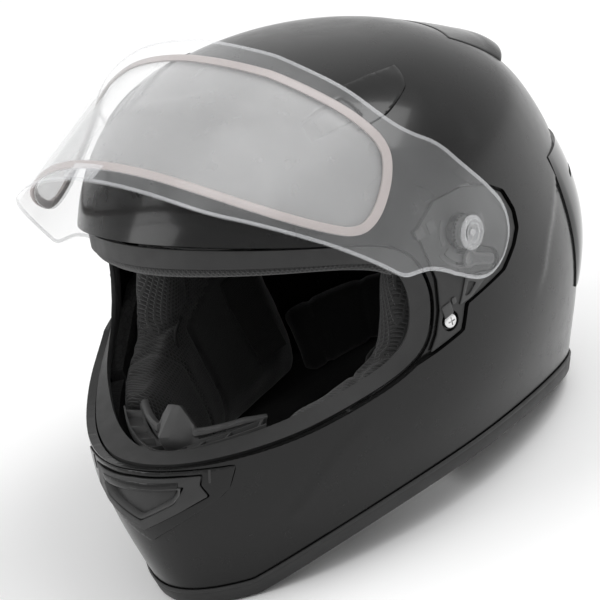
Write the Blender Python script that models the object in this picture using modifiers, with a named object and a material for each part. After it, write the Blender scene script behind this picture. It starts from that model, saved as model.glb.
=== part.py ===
"""Full-face motorcycle helmet with a swing-up shield.

The frame has its origin under the middle of the helmet, on the surface it stands on, with +Z up
and -Y to the front, so +X is the wearer's left. The lengths below are millimetres and become
metres when an object is made. The shell is a stack of level oval rings. Panels, liners and the
gasket are strips of that surface: a bearing round the vertical axis in degrees (0 at the chin,
positive to the wearer's left), a height, and a depth inwards.
"""
import math

import bmesh
import bpy
import numpy as np
from mathutils import Matrix, Vector

MM = 0.001
LENGTH_SHIFT = 0.9

# Rings of the shell: height, half width, middle, front and back
RINGS = np.array((
    (250.6, 0.0, -5.0, -5.0, -5.0),
    (248.2, 36.0, -3.0, -39.0, 34.0),
    (242.4, 64.0, 2.0, -64.0, 67.0),
    (231.0, 87.0, 7.0, -87.0, 103.0),
    (209.4, 108.0, 13.0, -109.5, 136.0),
    (185.4, 118.5, 17.0, -126.0, 157.5),
    (154.5, 123.7, 19.0, -142.0, 169.5),
    (123.6, 126.0, 20.0, -156.5, 173.0),
    (92.7, 124.3, 20.0, -169.5, 173.0),
    (61.8, 117.0, 20.0, -173.0, 168.5),
    (30.9, 106.0, 20.0, -168.0, 160.0),
    (0.0, 97.3, 20.0, -159.3, 146.0),
    (-16.0, 94.0, 20.0, -154.0, 137.5),
))
FRONT_POINT = 0.15
BACK_POINT = -0.10

# Lower edge: flat under chin and nape, arched over the shoulders
ARCH_HEIGHT = 23.0
ARCH_MIDDLE = -7.0
ARCH_REACH = 136.0
ARCH_POWER = 2.4
TRIM_HEIGHT = 10.0
TRIM_SLOT = 4.0
TRIM_WIDTH = 14.0

GAP = 0.4
SHELL_WALL = 5.0
SEAT_DEPTH = 3.0
VENT_DEPTH = 2.2
EPS_OUTER = 6.5
EPS_INNER = 33.0
LINER_OUTER = 36.0
LINER_INNER = 43.0
AROUND = 44
DOWN = 13

# Gasket of the eyeport, chin to brow: bearing, height, depth of its outer edge and then of its
# inner edge
GASKET = (
    (0, 92.5, 5.8, 0, 96.5, 19.0),
    (20, 90.5, 5.8, 20, 95.5, 18.0),
    (40, 90.0, 5.8, 39, 96.0, 15.5),
    (52, 94.5, 5.6, 50, 101.0, 12.0),
    (62, 99.5, 5.0, 59, 105.5, 10.0),
    (68, 107.0, 4.6, 64, 112.0, 8.5),
    (70.5, 122.0, 4.4, 66.5, 122.0, 8.0),
    (71.5, 140.0, 4.4, 67.5, 140.0, 8.0),
    (69.5, 159.0, 4.6, 66, 154.0, 8.0),
    (64, 171.0, 5.0, 62, 163.0, 8.0),
    (52, 181.0, 5.8, 51, 172.5, 8.0),
    (35, 190.5, 5.8, 35, 181.5, 8.0),
    (18, 196.5, 5.8, 18, 187.5, 8.0),
    (0, 198.5, 5.8, 0, 189.5, 8.0),
)
GASKET_WALL = 4.5
PORT_GAP = 1.8
PORT_AHEAD = Vector((0, -300, 140))
PORT_BEHIND = Vector((0, -20, 140))

# Recess that the shield's wing lies in, and the black plate in it: bearing, height
SEAT = (
    (64, 101.6), (70, 103.5), (76.5, 106.5), (78.5, 119.5), (83, 121), (90, 123), (95, 131),
    (98, 138), (99, 148), (98, 162), (93.5, 172), (87, 180), (78, 182), (66, 178), (60, 150),
)
PLATE = (
    (68.6, 104.4), (76, 107.6), (78, 120.4), (83, 121.9), (89.5, 124), (94.4, 131.6), (97.3, 138.5),
    (98.3, 148), (97.3, 161.5), (92.9, 171.2), (86.8, 178.9), (78, 180.8), (71.4, 171), (72.3, 157),
    (73, 141), (72, 124), (70.4, 112),
)
SCREW = (73.9, 115.8)
SCREW_RADIUS = 4.2
SCREW_TOP = 0.3
SCREW_HEIGHT = 2.2
DRIVE_DEPTH = 1.1
DRIVE_ARMS = ((0.6, 2.6), (2.6, 0.6))

# Chin vent, half outlines from the middle out: bearing, height
CHIN_FRAME = ((0, 89.8), (13.5, 88.8), (21, 87.6), (28, 86), (26, 74), (23, 69), (0, 47))
CHIN_COVER = ((0, 86.6), (14, 85.6), (19.9, 84.6), (19.2, 79.4), (20.9, 72.6), (0, 56))
SHUTTER_SLOT = ((0, 85.0), (15.0, 83.8), (14.6, 74.6), (0, 75.2))
SHUTTER_EDGE = ((0, 84.5), (14.0, 83.4), (13.4, 78.6), (0, 79.2))
CHIN_INTAKE = ((0, 80), (10.5, 79), (8.5, 66), (0, 64))

# Crown vent of the left side: bearing, height
CROWN_FRAME = (
    (38, 228.6), (46, 235.2), (55, 240.2), (66, 242.2), (82, 242.2), (97, 240.4), (111, 237.2),
    (98.5, 230.6), (83, 227.0), (66, 226.6), (53, 226.4), (44, 225.6), (40, 226.6),
)
CROWN_SLOT = ((56.5, 237.4), (66, 239.3), (77.3, 239.6), (76.3, 230.8), (66, 230.3), (56.5, 229.8))
CROWN_SLIDER = ((60.8, 236.6), (68, 238.2), (76.7, 239.0), (75.8, 231.3), (68, 231), (60.8, 230.8))
CROWN_INTAKE = ((64, 236.2), (72, 237.0), (72, 232.8), (64, 232.6))

# Lower edges of the crown liner and of its pad: bearing, height
CROWN_EDGE = (
    (0, 201), (18, 199), (35, 193.5), (52, 185), (62, 177), (70, 166), (76, 150), (84, 134),
    (108, 130), (120, 92), (132, 52), (180, 48),
)
LINER_EDGE = (
    (0, 202), (18, 200), (35, 195), (52, 187), (62, 180), (72, 168), (82, 146), (108, 136),
    (122, 96), (136, 60), (180, 56),
)

# Chin and cheek padding: bearings covered, and heights and depths by bearing
CHIN_LINER_REACH = 54
CHIN_LINER_TOP = ((0, 84), (40, 82), (54, 86))
CHIN_LINER_DEPTH = 17
CHEEK_LINER_BEARINGS = (57, 104)
CHEEK_LINER_FOOT = 38
CHEEK_LINER_TOP = ((57, 88), (64, 96), (76, 118), (110, 124))
CHEEK_LINER_DEPTH = 15
CHEEK_BEARINGS = (40, 106)
CHEEK_FOOT = 12
CHEEK_TOP = (
    (34, 86), (46, 92), (60, 100), (64, 106), (69, 154), (72, 156), (76, 143), (84, 127), (106, 120),
)
CHEEK_BACK = 21
CHEEK_FACE = ((34, 34), (44, 42), (60, 46), (84, 47), (96, 45), (106, 38))
CHEEK_CROWN = 5
CHEEK_LEAN = 9
CHEEK_SOFT = 5.0
NECK_BEARINGS = (109, 251)
NECK_FOOT = 9
NECK_TOP = 46
NECK_BACK = 17
NECK_FACE = 38
NECK_CROWN = 4
NECK_SOFT = 4.0
OVER_TRIM = 4

# Air grille and breath deflector behind the chin
GRILLE_REACH = 36
GRILLE_HEIGHTS = (87, 90.5)
GRILLE_DEPTHS = (22, 32)
AIR_SLOTS = 8
AIR_SLOT_PITCH = 8.5
AIR_SLOT_HALF = 2.9
AIR_SLOT_DEPTHS = (24, 30)
DEFLECTOR_REACH = 37
DEFLECTOR_FOOT = 86
DEFLECTOR_TOP = ((0, 112), (9, 111), (20, 101), (37, 95))
DEFLECTOR_DEPTHS = (33.5, 36)

# Spoiler and exhausts at the back: bearings and heights covered, and how far they stand out
SPOILER_BEARINGS = (146, 214)
SPOILER_HEIGHTS = (190, 221)
SPOILER_LIP = 1.5
SPOILER_RISE = 7.5
INLAY_BEARINGS = (158, 202)
INLAY_HEIGHTS = (178, 188.5)
INLAY_LIP = 2.0
INLAY_RISE = 5.0
EXHAUST_BEARINGS = (122, 152)
EXHAUST_HEIGHTS = (66, 150)
EXHAUST_LIP = 1.2
EXHAUST_RISE = 3.6

# Shield, drawn shut: seen from the side its edge is (y, z)
PIVOT_Y = -3.0
PIVOT_Z = 158.0
PIVOT = (0.0, PIVOT_Y, PIVOT_Z)
OPEN_ANGLE = math.radians(54.0)
SHIELD_HALF = 127.5
SHIELD_WALL = 2.3
SHIELD_LOW = 97.0
SHIELD_HIGH = 212.0
SHIELD_CHIN = -168.0
SHIELD_BROW = -116.0
SHIELD_BULGE = 10.0
SHIELD_POINT = 0.14
SHIELD_EDGE = (
    (-180, 95.2), (-151, 94.2), (-138, 94.8), (-122, 99), (-99, 104), (-79, 108), (-52, 111.5),
    (-37, 112.5), (-29, 120), (-20, 127), (4, 134.5), (18, 139.5), (28, 148), (32.5, 162),
    (29, 177), (15, 186.5), (-3, 187.5), (-26, 188), (-44, 191.5), (-60, 188.5), (-73, 190.5),
    (-89, 198), (-104, 202), (-118, 209), (-180, 209),
)
LENS_EDGE = (
    (-180, 106), (-140, 106), (-112, 109), (-88, 114), (-68, 121), (-60, 136), (-60, 160), (-66, 178),
    (-84, 187), (-104, 192), (-118, 196), (-180, 196),
)
SEAL_WIDTH = 5.0
LENS_INSET = 5.1
LENS_WALL = 1.2
HUB_RADIUS = 4.6
HUB_CAP = 9.6
HUB_SPAN = (120.0, 129.0)
CAP_SPAN = (127.9, 130.2)
GEAR_RADIUS = 9.5
GEAR_SPAN = (122.0, 123.9)
LEVER_SPAN = (122.9, 124.3)
LEVER_EYE = 3.0
LEVER_AXIS = (13.0, 133.5)
LEVER_PAD = (-4.5, 142.3)
LEVER_RADIUS = 5.2

STRAP_BEARINGS = (85, 96)
STRAP_DEPTH = 49
STRAP_WALL = 1.6
STRAP_TOP = 96
STRAP_ENDS = {"left": 26, "right": 34}
SIDES = ((1, "left"), (-1, "right"))

BLACK_GLOSS = ((0.012, 0.012, 0.013), 0.16, 0.0)
BLACK_MATTE = ((0.020, 0.020, 0.021), 0.55, 0.0)
RUBBER = ((0.010, 0.010, 0.010), 0.70, 0.0)
FOAM = ((0.045, 0.045, 0.047), 0.90, 0.0)
CLOTH = ((0.016, 0.016, 0.017), 0.95, 0.0)
CLEAR = ((0.80, 0.82, 0.85), 0.05, 0.0)
SILICONE = ((0.62, 0.50, 0.47), 0.45, 0.0)
STEEL = ((0.62, 0.62, 0.64), 0.28, 1.0)


# ---------------------------------------------------------------- surface of the shell

def natural_spline(knots, values):
    """Second derivatives of the natural cubic spline through the knots."""
    count = len(knots)
    gaps = np.diff(knots)
    slopes = np.diff(values) / gaps
    system = np.eye(count)
    right = np.zeros(count)
    for i in range(1, count - 1):
        system[i, i - 1:i + 2] = gaps[i - 1], 2 * (gaps[i - 1] + gaps[i]), gaps[i]
        right[i] = 6 * (slopes[i] - slopes[i - 1])
    return np.linalg.solve(system, right)


class Profile:
    """One column of the rings as a smooth curve, carried on through the crown."""

    def __init__(self, column, flips):
        steps = len(RINGS)
        values = RINGS[:, column]
        before = values[:0:-1]
        if flips:
            before = 2 * values[0] - before
        self.knots = np.arange(1 - steps, steps) / (steps - 1)
        self.values = np.concatenate((before, values))
        self.bends = natural_spline(self.knots, self.values)

    def __call__(self, station):
        last = len(self.knots) - 2
        i = min(max(int(np.searchsorted(self.knots, station)) - 1, 0), last)
        width = self.knots[i + 1] - self.knots[i]
        a = (self.knots[i + 1] - station) / width
        b = 1 - a
        bend = (a ** 3 - a) * self.bends[i] + (b ** 3 - b) * self.bends[i + 1]
        return a * self.values[i] + b * self.values[i + 1] + bend * width ** 2 / 6


HEIGHT_AT = Profile(0, False)
HALF_AT = Profile(1, True)
MIDDLE_AT = Profile(2, False)
FRONT_AT = Profile(3, True)
BACK_AT = Profile(4, True)
STATIONS = np.linspace(0, 1, 1201)
HEIGHTS = np.array([HEIGHT_AT(station) for station in STATIONS])


def station_at(height):
    """Station of the ring at a height."""
    return float(np.interp(-height, -HEIGHTS, STATIONS))


def outer_point(station, angle):
    """Point of the outer surface."""
    middle = MIDDLE_AT(station)
    front = middle - FRONT_AT(station)
    back = BACK_AT(station) - middle
    c = math.cos(angle)
    pointed = (FRONT_POINT + BACK_POINT) / 2 + (FRONT_POINT - BACK_POINT) / 2 * c
    reach = (front + back) / 2 + (front - back) / 2 * c
    across = HALF_AT(station) * math.sin(angle) * (1 - pointed * c * c)
    return Vector((across, middle - reach * c, HEIGHT_AT(station)))


def skin_at(station, angle, depth):
    """Point at a depth inside the outer surface, along its normal."""
    here = outer_point(station, angle)
    if station < 1e-6:
        return here - Vector((0, 0, depth))
    step = 1e-4
    down = outer_point(station + step, angle) - here
    around = outer_point(station, angle + step) - here
    return here + around.cross(down).normalized() * depth


def skin(bearing, height, depth):
    """Point of the helmet by bearing, height of the outer surface and depth."""
    return skin_at(station_at(height), math.radians(bearing), depth)


def rim_height(angle):
    """Height of the lower edge at an angle round the helmet."""
    along = outer_point(station_at(10.0), angle).y - ARCH_MIDDLE
    reach = min(abs(along) / ARCH_REACH, 1.0)
    return ARCH_HEIGHT * (1 - reach ** ARCH_POWER)


def between(knots, bearing):
    """Value at a bearing, straight between knots, the same on both sides."""
    places = [knot[0] for knot in knots]
    values = [knot[1] for knot in knots]
    return float(np.interp(abs(bearing), places, values))


# ---------------------------------------------------------------- making objects

def collection(name):
    group = bpy.data.collections.new(name)
    bpy.context.scene.collection.children.link(group)
    return group


def material(name, look):
    colour, roughness, metallic = look
    result = bpy.data.materials.new(name)
    result.use_nodes = True
    shader = result.node_tree.nodes["Principled BSDF"]
    shader.inputs["Base Color"].default_value = (*colour, 1.0)
    shader.inputs["Roughness"].default_value = roughness
    shader.inputs["Metallic"].default_value = metallic
    result.diffuse_color = (*colour, 1.0)
    return result


def place(name, bm, look=None):
    """Turn a mesh in millimetres into an object in metres: a part, or a cutter without a look."""
    bmesh.ops.remove_doubles(bm, verts=bm.verts, dist=1e-4)
    bmesh.ops.recalc_face_normals(bm, faces=bm.faces)
    bmesh.ops.translate(bm, verts=bm.verts, vec=(0, LENGTH_SHIFT, 0))
    bmesh.ops.scale(bm, verts=bm.verts, vec=(MM, MM, MM))
    mesh = bpy.data.meshes.new(name)
    bm.to_mesh(mesh)
    bm.free()
    obj = bpy.data.objects.new(name, mesh)
    if look is None:
        CUTTERS.objects.link(obj)
        obj.hide_render = True
        obj.display_type = 'WIRE'
    else:
        PARTS.objects.link(obj)
        mesh.materials.append(material(name, look))
        mesh.shade_smooth()
        mesh.set_sharp_from_angle(angle=math.radians(35))
    return obj


def loft(rows, closed_rows=False, closed_columns=False, caps=False):
    """Quads between rows of points, which may close on themselves either way."""
    bm = bmesh.new()
    grid = [[bm.verts.new(point) for point in row] for row in rows]
    row_count, column_count = len(grid), len(grid[0])
    for i in range(row_count if closed_rows else row_count - 1):
        for j in range(column_count if closed_columns else column_count - 1):
            a, b = grid[i], grid[(i + 1) % row_count]
            k = (j + 1) % column_count
            bm.faces.new((a[j], a[k], b[k], b[j]))
    if caps:
        bm.faces.new(grid[0])
        bm.faces.new(grid[-1])
    return bm


def dome(name, outer, inner, low, look=None, around=AROUND, down=DOWN):
    """Closed bowl between two depths, from the crown to the height low(angle)."""
    angles = [2 * math.pi * i / around for i in range(around)]
    ends = [station_at(low(angle)) for angle in angles]
    rows = []
    for depth, order in ((outer, range(down + 1)), (inner, range(down, -1, -1))):
        for j in order:
            share = j / down
            rows.append([skin_at(end * share, angle, depth) for angle, end in zip(angles, ends)])
    return place(name, loft(rows, closed_columns=True), look)


def tile(name, bearings, low, high, outer, inner, look, steps=6):
    """Curved slab over some bearings, between two heights and two depths."""
    columns = []
    for bearing in bearings:
        bottom, top = low(bearing), high(bearing)
        outside = []
        inside = []
        for j in range(steps + 1):
            share = j / steps
            height = bottom + (top - bottom) * share
            outside.append(skin(bearing, height, outer(bearing, share)))
            inside.append(skin(bearing, height, inner(bearing, share)))
        columns.append(outside + inside[::-1])
    return place(name, loft(columns, closed_columns=True, caps=True), look)


def even(start, end, count):
    return [start + (end - start) * i / (count - 1) for i in range(count)]


def constant(value):
    return lambda *_: value


def mirrored(half):
    """Full outline from a half one that starts and ends on the middle plane."""
    return list(half) + [(-a, b) for a, b in reversed(half) if a]


def sided(outline, side):
    return [(side * a, b) for a, b in outline]


def grown(outline, amount):
    """Outline on the shell moved outwards along the surface, or inwards if negative."""
    across = sum((skin(a + 1, b, 0) - skin(a - 1, b, 0)).length for a, b in outline)
    upward = sum((skin(a, b + 1, 0) - skin(a, b - 1, 0)).length for a, b in outline)
    scale = (across / len(outline) / 2, upward / len(outline) / 2)
    flat = [(a * scale[0], b * scale[1]) for a, b in outline]
    return [(x / scale[0], y / scale[1]) for x, y in offset(flat, amount)]


def offset(outline, amount):
    """Flat outline moved outwards by an amount."""
    points = [Vector(point) for point in outline]
    count = len(points)
    area = sum(points[i - 1].cross(points[i]) for i in range(count))
    turn = amount if area > 0 else -amount
    moved = []
    for i in range(count):
        before = (points[i] - points[i - 1]).normalized()
        after = (points[(i + 1) % count] - points[i]).normalized()
        normal = Vector((before.y + after.y, -before.x - after.x))
        share = max(normal.length_squared / 2, 0.5)
        moved.append(points[i] + normal * (turn / share))
    return [(point.x, point.y) for point in moved]


def rounded(outline, passes=2):
    """Outline with its corners cut again and again."""
    points = [Vector(point) for point in outline]
    for _ in range(passes):
        cut = []
        for i, point in enumerate(points):
            following = points[(i + 1) % len(points)]
            cut.append(point.lerp(following, 0.25))
            cut.append(point.lerp(following, 0.75))
        points = cut
    return [(point.x, point.y) for point in points]


def refined(outline, step=8.0):
    """Outline with points added so that none are more than a step apart."""
    points = []
    for i, (a, b) in enumerate(outline):
        c, d = outline[(i + 1) % len(outline)]
        pieces = max(1, math.ceil(math.hypot(c - a, d - b) / step))
        points += [(a + (c - a) * k / pieces, b + (d - b) * k / pieces) for k in range(pieces)]
    return points


def plug(name, outline, outer, inner, front=None, back=None):
    """Cutter through the shell inside an outline on it."""
    ring = refined(outline)
    rows = [[skin(a, b, depth) for a, b in ring] for depth in (outer, inner)]
    bm = loft(rows, closed_columns=True)
    bm.verts.ensure_lookup_table()
    count = len(ring)
    corners = list(bm.verts)
    for loop, apex in ((corners[:count], front), (corners[count:], back)):
        if apex is None:
            apex = sum((vert.co for vert in loop), Vector()) / count
        tip = bm.verts.new(apex)
        for i in range(count):
            bm.faces.new((loop[i], loop[(i + 1) % count], tip))
    return place(name, bm)


def prism(name, outline, near, far, look=None):
    """Flat side outline (y, z) carried along X."""
    curve = bpy.data.curves.new(name, 'CURVE')
    curve.dimensions = '2D'
    curve.fill_mode = 'BOTH'
    curve.extrude = abs(far - near) / 2
    spline = curve.splines.new('POLY')
    spline.points.add(len(outline) - 1)
    for point, (y, z) in zip(spline.points, outline):
        point.co = (y, z, 0, 1)
    spline.use_cyclic_u = True
    pattern = bpy.data.objects.new(name + "_pattern", curve)
    bm = bmesh.new()
    bm.from_mesh(pattern.to_mesh())
    pattern.to_mesh_clear()
    bpy.data.objects.remove(pattern)
    bpy.data.curves.remove(curve)
    upright = Matrix(((0, 0, 1), (1, 0, 0), (0, 1, 0))).to_4x4()
    middle = Matrix.Translation(((near + far) / 2, 0, 0))
    bmesh.ops.transform(bm, matrix=middle @ upright, verts=bm.verts)
    return place(name, bm, look)


def drum(name, centre, axis, radius, near, far, look=None, count=24):
    """Round bar between two distances along an axis through a point."""
    bm = bmesh.new()
    bmesh.ops.create_cone(bm, cap_ends=True, segments=count, radius1=radius, radius2=radius,
                          depth=abs(far - near))
    turn = axis.to_track_quat('Z', 'Y').to_matrix().to_4x4()
    roll = Matrix.Rotation(math.pi / count / 2, 4, 'Z')
    middle = Matrix.Translation(Vector(centre) + axis * ((near + far) / 2))
    bmesh.ops.transform(bm, matrix=middle @ turn @ roll, verts=bm.verts)
    return place(name, bm, look)


def boolean(obj, other, operation):
    """Join, cut or keep the overlap with another object, for good."""
    modifier = obj.modifiers.new(other.name, 'BOOLEAN')
    modifier.operation = operation
    modifier.object = other
    bpy.context.view_layer.update()
    graph = bpy.context.evaluated_depsgraph_get()
    mesh = bpy.data.meshes.new_from_object(obj.evaluated_get(graph))
    obj.modifiers.clear()
    old = obj.data
    drop_crumbs(mesh)
    obj.data = mesh
    mesh.name = old.name
    bpy.data.meshes.remove(old)
    return obj


def drop_crumbs(mesh):
    """Keep only the largest of a mesh's loose bodies."""
    bm = bmesh.new()
    bm.from_mesh(mesh)
    unseen = set(bm.faces)
    bodies = []
    while unseen:
        front = [unseen.pop()]
        body = []
        while front:
            face = front.pop()
            body.append(face)
            for edge in face.edges:
                fresh = [other for other in edge.link_faces if other in unseen]
                unseen.difference_update(fresh)
                front += fresh
        bodies.append(body)
    bodies.sort(key=lambda body: sum(face.calc_area() for face in body))
    for body in bodies[:-1]:
        bmesh.ops.delete(bm, geom=body, context='FACES')
    bm.to_mesh(mesh)
    bm.free()


def cut(obj, *cutters):
    for cutter in cutters:
        boolean(obj, cutter, 'DIFFERENCE')
    return obj


def panel(name, outline, outer, inner, look):
    """Piece of the bowl between two depths, inside an outline."""
    obj = dome(name, outer, inner, shell_low, look)
    return boolean(obj, plug(name + "_edge", outline, outer - 12, inner + 12), 'INTERSECT')


def pocket(name, outline, depth):
    """Cutter for a recess in the shell."""
    obj = dome(name, -12, depth, shell_low)
    return boolean(obj, plug(name + "_edge", outline, -24, depth + 12), 'INTERSECT')


def axis_empty(name, point, parent=None):
    """Empty on a joint's axis."""
    empty = bpy.data.objects.new(name, None)
    PARTS.objects.link(empty)
    empty.location = Vector((point[0], point[1] + LENGTH_SHIFT, point[2])) * MM
    empty.parent = parent
    return empty


def hang(obj, empty):
    """Move an object's origin to an empty and make it follow."""
    obj.data.transform(Matrix.Translation(-empty.location))
    obj.parent = empty
    return obj


# ---------------------------------------------------------------- shell and liners

def shell_low(angle):
    return rim_height(angle) + TRIM_SLOT + GAP


def port_outline(amount):
    outer = [(row[0], row[1]) for row in GASKET]
    return grown(rounded(refined(mirrored(outer), 12.0), 1), amount)


def outer_shell():
    shell = dome("outer_shell", 0, SHELL_WALL, shell_low, BLACK_GLOSS)
    cut(shell, plug("port_cut", port_outline(PORT_GAP), -30, 40, PORT_AHEAD, PORT_BEHIND))
    for side, name in SIDES:
        cut(shell, pocket("seat_cut_" + name, sided(SEAT, side), SEAT_DEPTH))
        cut(shell, pocket("crown_cut_" + name, grown(sided(CROWN_FRAME, side), GAP), VENT_DEPTH))
        cut(shell, plug("crown_hole_" + name, sided(CROWN_INTAKE, side), -8, 16))
    cut(shell, pocket("chin_cut", grown(mirrored(CHIN_FRAME), GAP), VENT_DEPTH))
    return cut(shell, plug("chin_hole", mirrored(CHIN_INTAKE), -8, 14))


def base_trim():
    """Rubber channel round the lower edge, with flats under chin and nape to stand on."""
    section = (
        (-1.6, 0.0), (-1.6, TRIM_HEIGHT), (-0.6, TRIM_HEIGHT + 0.8), (-0.4, TRIM_SLOT - 0.4),
        (SHELL_WALL + 1.4, TRIM_SLOT - 0.4), (SHELL_WALL + 1.4, 8.4), (TRIM_WIDTH, 6.8),
        (TRIM_WIDTH, 0.0),
    )
    rows = []
    for i in range(AROUND):
        angle = 2 * math.pi * i / AROUND
        foot = rim_height(angle)
        inward = skin_at(station_at(foot), angle, 10) - skin_at(station_at(foot), angle, 0)
        inward.z = 0
        inward.normalize()
        rows.append([outer_point(station_at(foot + up), angle) + inward * across
                     for across, up in section])
    return place("base_trim", loft(rows, closed_rows=True, closed_columns=True), RUBBER)


def gasket_spot(row, share):
    bearing = row[0] + (row[3] - row[0]) * share
    height = row[1] + (row[4] - row[1]) * share
    return skin(bearing, height, row[2] + (row[5] - row[2]) * share)


def eyeport_gasket():
    """Rubber lip round the eyeport, lying flat on the chin and upright at the brow."""
    half = []
    for i in range(len(GASKET) - 1):
        pieces = max(1, round((gasket_spot(GASKET[i + 1], 0) - gasket_spot(GASKET[i], 0)).length / 13))
        for k in range(pieces):
            share = k / pieces
            half.append(tuple(a + (b - a) * share for a, b in zip(GASKET[i], GASKET[i + 1])))
    half.append(GASKET[-1])
    rows = half + [(-r[0], r[1], r[2], -r[3], r[4], r[5]) for r in reversed(half[1:-1])]
    edges = [(gasket_spot(row, 0), gasket_spot(row, 1)) for row in rows]
    sections = []
    for i, (outer, inner) in enumerate(edges):
        along = edges[(i + 1) % len(edges)][0] - edges[i - 1][0]
        across = inner - outer
        face = across.cross(along).normalized() * GASKET_WALL
        sections.append([outer, outer + face, inner + face, inner])
    gasket = loft(sections, closed_rows=True, closed_columns=True)
    return place("eyeport_gasket", gasket, RUBBER)


def eps_crown():
    def low(angle):
        return between(CROWN_EDGE, math.degrees(math.remainder(angle, 2 * math.pi)))
    return dome("eps_crown_liner", EPS_OUTER, EPS_INNER, low, FOAM, 32, 7)


def crown_pad():
    def low(angle):
        return between(LINER_EDGE, math.degrees(math.remainder(angle, 2 * math.pi)))
    return dome("crown_pad", LINER_OUTER, LINER_INNER, low, CLOTH, 28, 6)


def eps_chin():
    return tile("eps_chin_liner", even(-CHIN_LINER_REACH, CHIN_LINER_REACH, 19), over_trim,
                lambda b: between(CHIN_LINER_TOP, b), constant(EPS_OUTER),
                constant(CHIN_LINER_DEPTH), FOAM, 4)


def cheek_face(bearing, share):
    """The pad is crowned, and leans back to the neck opening at its foot."""
    crown = CHEEK_CROWN * abs(2 * share - 1) ** 3
    return between(CHEEK_FACE, bearing) - crown - CHEEK_LEAN * (1 - share) ** 2


def cheek_parts():
    for side, name in SIDES:
        tile("eps_cheek_" + name, [side * b for b in even(*CHEEK_LINER_BEARINGS, 9)],
             constant(CHEEK_LINER_FOOT), lambda b: between(CHEEK_LINER_TOP, b),
             constant(EPS_OUTER), constant(CHEEK_LINER_DEPTH), FOAM, 4)
        cheek = tile("cheek_pad_" + name, [side * b for b in even(*CHEEK_BEARINGS, 12)],
                     constant(CHEEK_FOOT), lambda b: between(CHEEK_TOP, b), constant(CHEEK_BACK),
                     cheek_face, CLOTH, 6)
        soften(cheek, CHEEK_SOFT)


def over_trim(bearing):
    return rim_height(math.radians(bearing)) + TRIM_HEIGHT + OVER_TRIM


def soften(obj, radius):
    """Round the long edges of a pad."""
    bevel = obj.modifiers.new("Soft edge", 'BEVEL')
    bevel.width = radius * MM
    bevel.segments = 2
    bevel.limit_method = 'ANGLE'
    bevel.angle_limit = math.radians(50)


def neck_roll():
    roll = tile("neck_roll", even(*NECK_BEARINGS, 19), constant(NECK_FOOT), constant(NECK_TOP),
                constant(NECK_BACK),
                lambda b, share: NECK_FACE - NECK_CROWN * abs(2 * share - 1), CLOTH, 4)
    soften(roll, NECK_SOFT)


# ---------------------------------------------------------------- chin

def chin_parts():
    cover = grown(mirrored(CHIN_COVER), 1.5 * GAP)
    frame = panel("chin_vent_frame", mirrored(CHIN_FRAME), -0.9, VENT_DEPTH - GAP, BLACK_MATTE)
    cut(frame, plug("cover_cut", cover, -20, 20))
    lid = panel("chin_vent_cover", mirrored(CHIN_COVER), -2.6, VENT_DEPTH - GAP, BLACK_MATTE)
    cut(lid, plug("shutter_cut", mirrored(SHUTTER_SLOT), -20, 20))
    shutter = panel("chin_vent_shutter", mirrored(SHUTTER_EDGE), -1.8, 1.2, BLACK_GLOSS)
    hang(shutter, axis_empty("shutter_track", skin(0, 84, 0)))
    grille = panel("chin_vent_grille", grown(mirrored(CHIN_INTAKE), -0.5), 2.8, 4.6, BLACK_MATTE)
    for height in (67, 71, 75):
        bar = ((-8, height), (8, height), (8, height + 2.2), (-8, height + 2.2))
        cut(grille, plug("grille_cut_%d" % height, bar, -4, 14))


def chin_air_grille():
    """Slotted strip behind the gasket that clears the shield of mist."""
    low, high = GRILLE_HEIGHTS
    grille = tile("chin_air_grille", even(-GRILLE_REACH, GRILLE_REACH, 17), constant(low),
                  constant(high), *map(constant, GRILLE_DEPTHS), BLACK_MATTE, 1)
    for i in range(AIR_SLOTS):
        bearing = AIR_SLOT_PITCH * (i - (AIR_SLOTS - 1) / 2)
        across = even(bearing - AIR_SLOT_HALF, bearing + AIR_SLOT_HALF, 3)
        slot = tile("air_slot_%d" % i, across, constant(low - 7), constant(high + 7),
                    *map(constant, AIR_SLOT_DEPTHS), None, 1)
        cut(grille, slot)


def breath_deflector():
    tile("breath_deflector", even(-DEFLECTOR_REACH, DEFLECTOR_REACH, 21),
         constant(DEFLECTOR_FOOT), lambda b: between(DEFLECTOR_TOP, b),
         *map(constant, DEFLECTOR_DEPTHS), RUBBER, 3)


# ---------------------------------------------------------------- crown and rear

def crown_vents():
    for side, name in SIDES:
        frame = panel("crown_vent_" + name, sided(CROWN_FRAME, side), -1.0, VENT_DEPTH - GAP,
                      BLACK_MATTE)
        cut(frame, plug("slot_cut_" + name, sided(CROWN_SLOT, side), -20, 20))
        slider = panel("crown_slider_" + name, sided(CROWN_SLIDER, side), -0.6, 1.3, BLACK_GLOSS)
        hang(slider, axis_empty("slider_track_" + name, skin(side * 68, 235, 0)))


def spoiler_top(bearing, share):
    """The spoiler stands out most at its lower edge and fades towards its ends."""
    start, end = SPOILER_BEARINGS
    off_centre = (2 * bearing - start - end) / (end - start)
    return -SPOILER_LIP - SPOILER_RISE * (1 - share) * (1 - off_centre ** 4)


def exhaust_top(bearing, share):
    """The exhaust swells between its ends, a little less at its foot and head."""
    start, end = EXHAUST_BEARINGS
    along = math.sin(math.pi * (abs(bearing) - start) / (end - start)) ** 0.5
    return -EXHAUST_LIP - EXHAUST_RISE * along * math.sin(math.pi * (0.1 + 0.8 * share))


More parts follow.
